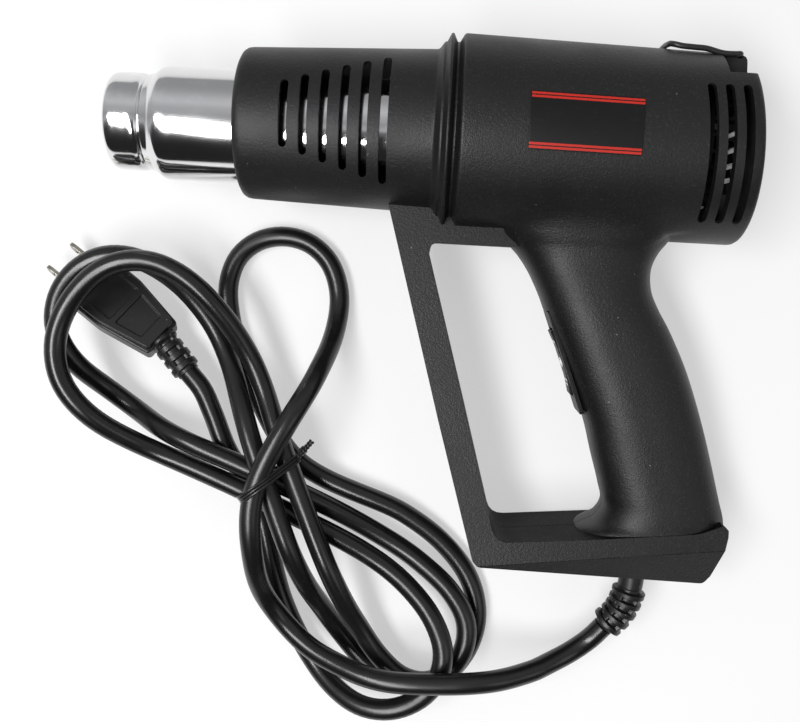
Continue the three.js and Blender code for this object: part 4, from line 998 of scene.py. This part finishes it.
for i in range(REAR_SLOTS):
    for shorter, z0, z1 in ((0, 0, 40), (FAR_SHORTER, -40, -0.1)):
        outline = slot_outline(SLOT_X + SLOT_STEP * i, rear_low + shorter, rear_high, SLOT_WIDTH,
                               REAR_LEAN)
        cutters.append(cut_out("rear_slot", outline, z0, z1))
print(len(cutters), "bores and slots")

# %% Other openings
NOZZLE_DROP = 1.2
cutters.append(rod("nozzle_hole", (20, -NOZZLE_DROP, 0), (60, -NOZZLE_DROP, 0), 20.9, 128))
cutters.append(rod("relief_hole", (RELIEF_X, -180, 0), (RELIEF_X, -154, 0), 5.9, 32))
for low, high in ((10.5, FAR), (-FAR, -10.5)):
    cutters.append(block("pocket", (213, 21.4, low), (300, 60, high)))
SWITCH_TOP, SWITCH_BOTTOM = Vector((162.6, -62.3)), Vector((176.8, -98.3))
SWITCH_HALF, SWITCH_SIDE = (SWITCH_BOTTOM - SWITCH_TOP).length / 2, 7
switch_mid = (SWITCH_TOP + SWITCH_BOTTOM) / 2
switch_down = (SWITCH_BOTTOM - SWITCH_TOP).normalized()
# the switch's own axes: down the grip, out of it, and across
switch_axes = Matrix(((*switch_down, 0), (switch_down.y, -switch_down.x, 0), (0, 0, -1)))
SWITCH_PLACE = (Matrix.Translation((switch_mid.x * MM, switch_mid.y * MM, 0))
                @ switch_axes.transposed().to_4x4())


def at_switch(name, long, low, wide):
    """A block in the switch's axes, from a depth out through the front of the grip."""
    return settle(block(name, (-long, low, -wide), (long, 30, wide)), SWITCH_PLACE)


cutters.append(at_switch("recess", SWITCH_HALF + 1, -0.4, SWITCH_SIDE + 1.2))
second = [upright("bail_hole", 220, 30, -12, 12, 1.3, 24)]
second.append(at_switch("window", SWITCH_HALF - 2, -30, SWITCH_SIDE - 0.6))
second += [upright("clamp_hole", x, y, -6, 9, 1.5, 16) for x, y in CLAMPS]
combined(outside, joined("cutters", cutters), "DIFFERENCE")
combined(outside, joined("second_cutters", second), "DIFFERENCE")
print("openings cut:", len(outside.data.polygons), "faces")

# %% Two halves
LOOP_TOP, STRAP_X, FOOT_TOP, FOOT_EASE = -38, 150, -120, 14
SIDEWAYS, SIDE_EASE = 0.75, 0.4


def marked_with_painted_shade(half):
    """Marks the faces that look into the hand loop for painted shade, where they reflect less."""
    mesh = half.data
    share = mesh.attributes.new("loop_painted_shade", "FLOAT", "CORNER")
    for corner, normal, value in zip(mesh.loops, mesh.corner_normals, share.data):
        x, y, _ = mesh.vertices[corner.vertex_index].co / MM
        lean = normal.vector
        low = 1 if x < STRAP_X else min(max((FOOT_TOP - y) / FOOT_EASE, 0), 1)
        if y < LOOP_TOP and lean.y > -0.2 and lean.x > -0.4:
            value.value = low * min(max((SIDEWAYS - abs(lean.z)) / SIDE_EASE, 0), 1)
    return half


SPLIT = 0.15
right_half = copied(outside, "right_half")
combined(outside, block("near", (-50, -300, SPLIT), (400, 300, 200)), "INTERSECT")
combined(right_half, block("far", (-50, -300, -200), (400, 300, -SPLIT)), "INTERSECT")
outside.name = "left_half"
# Both halves carry the painted shade mark on the faces inside the hand loop.
for half, node in ((outside, "left_shell"), (right_half, "right_shell")):
    dressed(settle(marked_with_painted_shade(shade(half, 34))), black_plastic, node)
    print(len(half.data.polygons), "faces")

# %% [markdown]
# ## The nozzle
# The steel tube is drawn in one go: a rolled lip, a bead that grips accessories, a step up
# to the wider tube and, out of sight, a flange. A smooth line through a few points of the
# outside gives the soft transitions of drawn sheet, and the profile is spun. Chrome shows
# every facet, so it has the most steps of all the turned pieces.

# %% Nozzle
nozzle_front = [(1.2, 15.9), (0.2, 15.2), (-0.5, 15.4), (-0.8, 15.95), (-0.55, 16.5), (0.1, 17.05),
                (1.4, 17.4), (4, 17.48), (7, 17.48), (9.9, 17.42), (11, 17.05), (11.8, 16.45),
                (12.6, 17.1), (13.7, 17.5), (15, 17.95), (16.6, 19.1), (18.2, 20.05), (20.2, 20.36),
                (25, 20.4)]
nozzle_back = [(93, 20.4), (96, 19.2), (104, 19.2), (104, 23.2), (104.8, 23.2), (104.8, 18.4),
               (96, 18.4), (93, 19.6), (22, 19.6), (18.4, 19.2), (16.4, 18.2), (14.4, 16.9),
               (13.2, 16.4), (11.8, 15.7), (10.4, 16.3)]
nozzle_profile = [tuple(p) for p in smooth_curve(nozzle_front, np.linspace(0, 1, 140))]
nozzle = shade(turned("nozzle", nozzle_profile + nozzle_back, steps=192), 40)
settle(nozzle, TOOL_PLACE @ Matrix.Translation((0, -NOZZLE_DROP * MM, 0)))
dressed(nozzle, chrome, "nozzle_tube")

# %% [markdown]
# ## The switch
# The switch snaps into the front of the grip: a frame with a lip all round, a body behind
# it and a rocker that tilts in the frame. Each is an outline in the switch's own axes, so
# only the matrix at the end knows how the grip leans. The marks are thin separate pieces
# on the rocker, because they are pad printed there in a raised white ink.

# %% Frame and body
FLAT_TO_SWITCH = SWITCH_PLACE @ Matrix(((1, 0, 0, 0), (0, 0, 1, 0), (0, -1, 0, 0), (0, 0, 0, 1)))


def oblong(long, wide, radius):
    """A rounded oblong, from its half length and half width."""
    corners = ((-long, -wide), (long, -wide), (long, wide), (-long, wide))
    return rounded([(*corner, radius) for corner in corners])


switch_frame = cut_out("switch_frame", oblong(SWITCH_HALF + 0.6, 7.8, 1.4), 0, 1.6)
combined(switch_frame, cut_out("body", oblong(SWITCH_HALF - 2.4, 6, 0.6), -16, 1), "UNION")
combined(switch_frame, cut_out("well", oblong(13.3, 4.8, 0.5), -5.4, 20), "DIFFERENCE")
shade(softened(switch_frame, 0.45, segments=3, angle=40))
settle(switch_frame, TOOL_PLACE @ FLAT_TO_SWITCH)
dressed(switch_frame, bezel_plastic, "switch_body")

# %% Rocker
rocker_corners = [(-12.5, 2.6, 0.5), (-12.5, -0.6, 0.5), (-4, -3.2, 1), (4, -3.2, 1), (12.5, -0.6, 0.5),
                  (12.5, 2.6, 0.5), (6.5, 1.95, 8), (0, 1.7, 14), (-6.5, 1.95, 8)]
rocker = cut_out("rocker", rounded(rocker_corners, 6), -4.5, 4.5)
shade(softened(rocker, 0.4, segments=3, angle=50), 40)
settle(rocker, TOOL_PLACE @ SWITCH_PLACE)
dressed(rocker, switch_plastic, "switch_rocker", "rocker")

# %% Marks on the rocker
BAR_SIDE, BAR_LONG = 0.45, 2.8


def rocker_top(u):
    """Height of the hollow top of the rocker."""
    return 1.74 + 0.0055 * u * u


marks = []
for u in (-8.2, 6.9, 8.7):
    low = (u - BAR_SIDE, rocker_top(u) - 0.4, -BAR_LONG)
    marks.append(block("mark", low, (u + BAR_SIDE, rocker_top(u) + 0.1, BAR_LONG)))
ring = added("ring", bpy.ops.mesh.primitive_torus_add, major_radius=1.7 * MM, minor_radius=0.4 * MM,
             major_segments=40, minor_segments=8, location=(0, (rocker_top(0) - 0.1) * MM, 0),
             rotation=(math.pi / 2, 0, 0))
marks.append(settle(ring, ring.matrix_world.copy()))
marks = settle(shade(joined("rocker_marks", marks)), TOOL_PLACE @ SWITCH_PLACE)
dressed(marks, mark_white, body="rocker")

# %% [markdown]
# ## The nameplate
# A thin plate follows the curve of the housing. A flat grid is laid out over the plate's
# length and angle, which bends it exactly onto the cone, and Solidify gives it its
# thickness. The two pairs of red lines are a mask made from the grid's own UV map, so they
# stay parallel to the edges. The plate carries no lettering.

# %% Nameplate
PLATE_X, PLATE_TURN, PLATE_RISE = (147.5, 184.2), (-12.3, 19.0), 0.8
plate = added("bare_plate", bpy.ops.mesh.primitive_grid_add, x_subdivisions=12, y_subdivisions=32,
              size=2)
for corner in plate.data.vertices:
    x = np.interp(corner.co.x, (-1, 1), PLATE_X)
    a = math.radians(np.interp(corner.co.y, (-1, 1), PLATE_TURN))
    r = housing_r(x) + PLATE_RISE
    corner.co = (x * MM, (r * math.sin(a) - housing_low(x)) * MM, r * math.cos(a) * MM)
applied(plate, "SOLIDIFY", thickness=0.5 * MM, offset=-1)
settle(shade(softened(plate, 0.12, segments=2, angle=50)))
dressed(plate, plate_finish, "nameplate")

# %% [markdown]
# ## The hanging bail
# A bent wire swings on the lug. Half of its line is listed from the middle of the pin to
# the middle of the front bar, the other half is its mirror image, and a smooth curve with
# a round bevel turns it into wire.

# %% Bail
bail_line = [(220, 30, 0.6), (220, 30, 6), (220, 30, 10.2), (219.4, 30, 11.7), (218, 29.8, 12.2),
             (213.5, 29.9, 12.2), (207.8, 31.2, 12.2), (203.6, 31.5, 12.1), (199.4, 31.8, 12),
             (197.2, 32.3, 11.5), (196, 32.8, 10), (195.8, 33.1, 7.5), (196, 33.7, 3)]
bail_line += [(x, y, -z) for x, y, z in reversed(bail_line)]
bail = wire("bail", smooth_curve(bail_line, np.linspace(0, 1, 240)), 1.0, bevel=4)
dressed(shade(settle(bail), 50), black_wire, "hang_bail", "bail")

# %% [markdown]
# ## The screws
# Seven screws hold the shells together, with their heads deep in the far side. They come
# in four lengths: each is turned once from a profile with a cross cut into its head, and
# the seven are copies.

# %% Shell screws
SCREW_END, THREAD, CORE = 7, 1.5, 1.25
CROSS = (0.35, 1.6)


def shell_screw(name, seat):
    """A screw along the barrel axis that reaches from its seat to the near half."""
    reach = SCREW_END - seat
    profile = [(-2.2, 0), (-2.2, 2.2), (-1.9, 2.75), (-1.4, 3.1), (-0.3, 3.1), (-0.3, THREAD)]
    for k in range(int(reach - 3)):
        profile += [(k + 0.35, THREAD), (k + 0.6, CORE), (k + 0.85, THREAD)]
    profile += [(reach - 2, THREAD), (reach, 0.4), (reach, 0)]
    piece = turned(name, profile, steps=28)
    for z, y in (CROSS, CROSS[::-1]):
        combined(piece, block("cross", (-3, -y, -z), (-1.2, y, z)), "DIFFERENCE")
    return shade(piece, 40)


models = {seat: shell_screw(f"screw_{-seat}", seat) for seat in (-6, -9, -12, -14)}
for i, (x, y, seat) in enumerate(SCREWS, 1):
    screw = settle(copied(models[seat], f"screw_{i}"), TOOL_PLACE @ at_screw(x, y, seat))
    dressed(screw, bright_steel, f"shell_screw_{i}")
for model in models.values():
    bpy.data.objects.remove(model, do_unlink=True)

# %% [markdown]
# ## The strain relief
# The sleeve at the foot is soft because it is mostly gaps: five rings stand on a core,
# and each gap is bridged by four webs that leave four short slots. All of that is one
# radius that depends on the place along the sleeve and the angle round it, so a grid
# rolled into many rings gives the whole piece, and the rings follow the bent line.

# %% Rings round a bent line
def ringed(name, line, radius, around, rows):
    """Rolls rings round a line; radius gives their size at a distance along it and each angle."""
    at = smooth_curve(line, np.linspace(0, 1, rows))
    way = np.gradient(at, axis=0)
    way /= np.linalg.norm(way, axis=1)[:, None]
    side = np.cross(way, np.array((0.0, 0.0, 1.0)))
    side /= np.linalg.norm(side, axis=1)[:, None]
    top = np.cross(side, way)
    a = 2 * np.pi * np.arange(around) / around
    rings = []
    for k, s in enumerate(travelled(at)):
        r = radius(s, a)
        rings.append(at[k] + (r * np.cos(a))[:, None] * side[k] + (r * np.sin(a))[:, None] * top[k])
    return skinned(name, rings)


def step(value, edge, soft):
    """Rises from 0 to 1 across an edge."""
    t = np.clip((value - edge) / soft + 0.5, 0, 1)
    return t * t * (3 - 2 * t)


def between(s, low, high, soft):
    """1 between two places along the line, 0 outside them."""
    return step(s, low, soft) * (1 - step(s, high, soft))


def web(a, half=0.25, soft=0.12):
    """1 on the four webs that stand at half quarters, 0 in the slots between them."""
    off = np.abs((a + np.pi / 4) % (np.pi / 2) - np.pi / 4)
    return step(off, np.pi / 4 - half, soft)


# %% Strain relief
RELIEF_CORE = 4.35
relief_rings = [13.3 + 3.72 * i for i in range(5)]


def relief_radius(s, a):
    """Radius of the strain relief: collar, rings, webs and a rounded end."""
    collar = 1 - step(s, 11, 0.5)
    ring = max([between(s, at - 0.95, at + 0.95, 0.3) for at in relief_rings])
    taper = 1 - 0.05 * np.clip((s - 12) / 18, 0, 1)
    bridge = 1.1 * web(a) * step(s, 12, 0.4) * (1 - step(s, 29.2, 0.4))
    end = 1 - 0.5 * step(s, 30.1, 0.8) * 0.3
    webbed = RELIEF_CORE + 0.35 * collar + bridge * taper
    return np.maximum(webbed, (RELIEF_CORE + 2.0 * ring * taper) * np.ones_like(a)) * end


relief = ringed("relief", relief_route, relief_radius, around=96, rows=210)
settle(shade(softened(relief, 0.05, segments=1, angle=60), 45))
dressed(relief, plug_pvc, "strain_relief")

# %% [markdown]
# ## The plug
# The plug is moulded onto the end of the lead. Its body is an outline that widens towards
# the blades, extruded and bevelled, with two shallow panels on each broad face. The neck
# has rings and slots like the strain relief, on a line with a slight bend, because the
# lead pulls it to one side. It lies tilted on one edge, with a strand over it.

# %% Plug body
PLUG_PLACE = (GROUND_PLACE @ Matrix.Translation((*(PLUG_REAR * MM), PLUG_MID_Z * MM))
              @ Matrix.Rotation(PLUG_TURN, 4, "Z") @ Matrix.Rotation(PLUG_ROLL, 4, "X"))
PLUG_TOP, PLUG_SHOULDER, PLUG_WIDEST = PLUG_HEIGHT / 2, 3.2, PLUG_LENGTH * 0.6
RAISED_IN, PANEL_IN, PANEL_R, PANEL_DEPTH = 1.1, 3.8, 0.8, 1
rear_half, front_half = 8.3, PLUG_FRONT / 2
plug_corners = [(0, -rear_half, 2), (PLUG_WIDEST, -front_half, 12), (PLUG_LENGTH, -front_half, 2.5),
                (PLUG_LENGTH, front_half, 2.5), (PLUG_WIDEST, front_half, 12), (0, rear_half, 2)]
raised_corners = [(x - RAISED_IN if x > 1 else x + RAISED_IN, y - math.copysign(RAISED_IN, y), r)
                  for x, y, r in plug_corners]
plug = cut_out("plug", rounded(plug_corners, 6), PLUG_SHOULDER - PLUG_TOP, PLUG_TOP - PLUG_SHOULDER)
softened(plug, 0.7, segments=3, angle=50)
raised = cut_out("raised", rounded(raised_corners, 6), -PLUG_TOP, PLUG_TOP)
for side in (1, -1):
    for ends in ((6, 17.2), (19.6, 33)):
        w0, w1 = np.interp(ends, (0, PLUG_WIDEST), (rear_half, front_half)) - PANEL_IN
        corners = [(ends[0], -w0), (ends[1], -w1), (ends[1], w1), (ends[0], w0)]
        outline = rounded([(*corner, PANEL_R) for corner in corners])
        depth = sorted((side * (PLUG_TOP - PANEL_DEPTH), side * (PLUG_TOP + 2)))
        combined(raised, cut_out("panel_cut", outline, *depth), "DIFFERENCE")
softened(raised, 0.4, segments=3, angle=50)
combined(plug, raised, "UNION")
blade_sides = (-BLADE_SPACING / 2, BLADE_SPACING / 2)
for y in blade_sides:
    room = block("blade_room", (PLUG_LENGTH - 8, y - 1.1, -3.5), (PLUG_LENGTH + 2, y + 1.1, 3.5))
    combined(plug, room, "DIFFERENCE")
print("plug body:", len(plug.data.polygons), "faces")

# %% Plug neck
NECK_CORE = 4.4
neck_way = Vector((-math.cos(NECK_BEND), -math.sin(NECK_BEND), 0))
neck_line = [(1.5, 0, 0), (0, 0, 0)] + [tuple(neck_way * d) for d in (4, 8, 12, 16)]
neck_rings = [5.6, 10.2, 14.8]


def neck_radius(s, a):
    """Radius of the neck: a wide root, rings and webs."""
    ring = max([between(s, at - 1.3, at + 1.3, 0.4) for at in neck_rings])
    bridge = 1.0 * web(a) * step(s, 2, 0.5) * (1 - step(s, 16, 0.5))
    root = 1.6 * (1 - step(s, 2.6, 2))
    return np.maximum(NECK_CORE + bridge + root, NECK_CORE + 1.2 * ring) * np.ones_like(a)


neck = ringed("neck", neck_line, neck_radius, around=80, rows=110)
combined(plug, neck, "UNION")
settle(shade(plug, 38), PLUG_PLACE)
dressed(plug, plug_pvc, "plug_body")

# %% Blades
BLADE_WIDE, BLADE_TIP, BLADE_THICK, BLADE_HOLE = 3.15, 2.1, 0.75, 4.2
x0, x1 = PLUG_LENGTH - 7.6, PLUG_LENGTH + BLADE_LENGTH
blade_corners = [(x0, -BLADE_WIDE, 0), (x1 - 2.2, -BLADE_WIDE, 1), (x1, -BLADE_TIP, 0.8),
                 (x1, BLADE_TIP, 0.8), (x1 - 2.2, BLADE_WIDE, 1), (x0, BLADE_WIDE, 0)]
for i, y in enumerate(blade_sides, 1):
    blade = cut_out(f"blade_{i}", rounded(blade_corners), -BLADE_THICK, BLADE_THICK)
    combined(blade, upright("hole", x1 - BLADE_HOLE, 0, -3, 3, 1.5, 32), "DIFFERENCE")
    shade(softened(blade, 0.25, segments=2, angle=50), 40)
    settle(blade, PLUG_PLACE @ Matrix.Translation((0, y * MM, 0)) @ Matrix.Rotation(math.pi / 2, 4, "X"))
    dressed(blade, blade_metal, f"plug_blade_{i}")

# %% [markdown]
# ## The fan
# Through the middle slot of the rear one sees four pale ends of the fan's vanes, which are
# glints, and, past them, nothing but dark. One vane is a small block turned on its axis,
# and it is copied round the hub; the wheel has a dark finish as painted shade. A pale tip,
# a painted highlight, is turned a little across its vane, and goes with those four.

# %% Fan wheel
VANES, VANE_MID, VANE_LEAN, TIP_TURN = 24, 17.4, 0.4, 0.45
# Four of the vanes carry pale tips, painted highlights.
FAN_PHASE, GLINT_VANES = 0.45, range(5, 9)
FAN_R, HUB_R = 22, 5
wheel_profile = [(206, 0), (206, HUB_R), (209, HUB_R), (209, FAN_R), (210.4, FAN_R), (210.4, HUB_R),
                 (219, HUB_R), (219, 0)]
wheel = turned("wheel", wheel_profile, steps=96)
combined(wheel, rod("bore", (200, 0, 0), (230, 0, 0), 1.15, 24), "DIFFERENCE")


def on_vane(x):
    """The place of a block on the first vane."""
    return Matrix.Translation((x * MM, VANE_MID * MM, 0)) @ Matrix.Rotation(VANE_LEAN, 4, "X")


def spread(model, places):
    """Copies of a piece at some of the vanes. The piece itself is removed."""
    turn = lambda i: Matrix.Rotation(2 * math.pi * (i + FAN_PHASE) / VANES, 4, "X")
    copies = [settle(copied(model, f"{model.name}_{i}"), turn(i)) for i in places]
    bpy.data.objects.remove(model, do_unlink=True)
    return copies


vane = settle(block("vane", (-4.4, -4, -0.6), (4.4, 4, 0.6)), on_vane(214.6))
# The pale tip is a painted highlight.
tip = block("tip", (-1.2, 3.2, -0.65), (2.5, 4.3, 0.65))
settle(tip, on_vane(216.2) @ Matrix.Rotation(TIP_TURN, 4, "Y"))
wheel = joined("fan_wheel", [wheel] + spread(vane, range(VANES)))
tips = joined("fan_painted_glints", spread(tip, GLINT_VANES))
# The wheel's dark finish is painted shade.
dressed(settle(shade(wheel, 40)), switch_plastic, "fan_impeller", "fan")
dressed(settle(shade(tips, 40)), white_nylon, body="fan")
print("fan:", VANES, "vanes,", len(GLINT_VANES), "of them with pale tips")

# %% [markdown]
# ## What sits inside
# The heater, the motor, the board and the wires are seen only as glimpses through the
# slots, so the CAD solids stay as they are and get finishes of their own.

# %% Finishes of the inner solids
inner = {mica: "mica_sleeve heater_former", heater_wire: "heater_coil", ceramic: "heater_holder",
         bright_steel: "nozzle_clamp thermal_cutout motor_can motor_shaft clamp_screw_1 clamp_screw_2",
         white_nylon: "motor_end_cap cord_clamp", switch_plastic: "motor_mount",
         board_green: "rectifier_board", lead_red: "supply_lead motor_lead"}
for material, names in inner.items():
    for name in names.split():
        solid = frame["nodes"][name]
        solid.data.materials.clear()
        solid.data.materials.append(material)
    print(material.name, "on", names)

# %% [markdown]
# ## Floor, light and a check of the size
# The tool lies on a plain white floor under soft light: one long panel above the lower
# left, a weak one from the lower right, and a sky that is dark towards the bottom of the
# picture, which gives the chrome its dark lower half. The camera itself sees that sky as
# white. For the camera and for reflections the floor is mostly a white of its own, so it
# stays white without more light on the tool, and it still takes the soft shadow. The light
# it throws back is that of a grey floor, which keeps the sides of the tool dark.

# %% Floor
GLOW_SHARE = 0.5
floor = added("studio_floor", bpy.ops.mesh.primitive_circle_add, vertices=96, radius=4, fill_type="NGON")
floor_paint = bpy.data.materials.new("studio_white")
floor_paint.use_nodes = True
tree = floor_paint.node_tree
ray = placed(tree, "LightPath")
seen = reckoned(tree, "MAXIMUM", ray["Is Camera Ray"], ray["Is Glossy Ray"])
paint = mixed(tree, seen, (*grey(0.34), 1), (*grey(0.88), 1))
inputs = {"Base Color": paint, "Roughness": 0.9, "Specular IOR Level": 0.0}
matt = fed(tree, tree.nodes["Principled BSDF"], inputs)["BSDF"]
glow = placed(tree, "Emission", {"Color": (1, 1, 1, 1)})["Emission"]
share = reckoned(tree, "MULTIPLY", seen, GLOW_SHARE)
surface = placed(tree, "MixShader", {0: share, 1: matt, 2: glow})["Shader"]
fed(tree, tree.nodes["Material Output"], {"Surface": surface})
floor.data.materials.append(floor_paint)
floor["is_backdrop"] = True
print("floor of", round(floor.dimensions.x), "m")


# %% Lamps
def panel(name, place, target, size, watts):
    """A soft rectangular lamp that faces a point."""
    light = bpy.data.lights.new(name, "AREA")
    light.shape = "RECTANGLE"
    light.size, light.size_y = size
    light.energy = watts
    lamp = bpy.data.objects.new(name, light)
    bpy.context.collection.objects.link(lamp)
    facing = (Vector(place) - Vector(target)).to_track_quat("Z", "Y").to_matrix().to_4x4()
    lamp.matrix_world = Matrix.Translation(place) @ facing
    print(name, "of", watts, "W")


panel("key_panel", (-0.35, -0.22, 0.95), (0.0, 0.0, 0.0), (0.8, 0.24), 10.5)
panel("side_panel", (0.75, -0.3, 0.8), (0.05, 0.0, 0.0), (0.4, 0.6), 0.8)

# %% Sky, from the bottom of the picture to its top
sky_levels = [(0.1, 0.02), (0.3, 0.04), (0.38, 0.14), (0.46, 0.46), (0.54, 0.36), (0.64, 0.46),
              (0.76, 0.6), (0.97, 0.34)]
sky = bpy.data.worlds.new("studio_sky")
bpy.context.scene.world = sky
sky.use_nodes = True
tree = sky.node_tree
across = placed(tree, "SeparateXYZ", {"Vector": placed(tree, "TexCoord")["Generated"]})["Y"]
share = placed(tree, "MapRange", {"Value": across, "From Min": -1})["Result"]
ramp = tree.nodes.new("ShaderNodeValToRGB")
ramp.color_ramp.interpolation = "EASE"
stops = ramp.color_ramp.elements
for at, level in sky_levels:
    stops.new(at).color = (level * 0.95, level * 0.97, level, 1)
for spare in (stops[-1], stops[0]):
    stops.remove(spare)
graded = fed(tree, ramp, {"Fac": share})["Color"]
shown = mixed(tree, placed(tree, "LightPath")["Is Camera Ray"], graded, (*grey(0.95), 1))
fed(tree, tree.nodes["Background"], {"Color": shown})
bpy.context.scene.view_settings.view_transform = "Standard"
print("sky of", len(stops), "levels")

# %% Size and finish
visual_box = [list(corner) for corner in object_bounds()]
grown = [round((v - c) / MM, 1) for a, b in zip(visual_box, cad_box) for v, c in zip(a, b)]
print("visual box beyond the CAD box in mm:", grown)
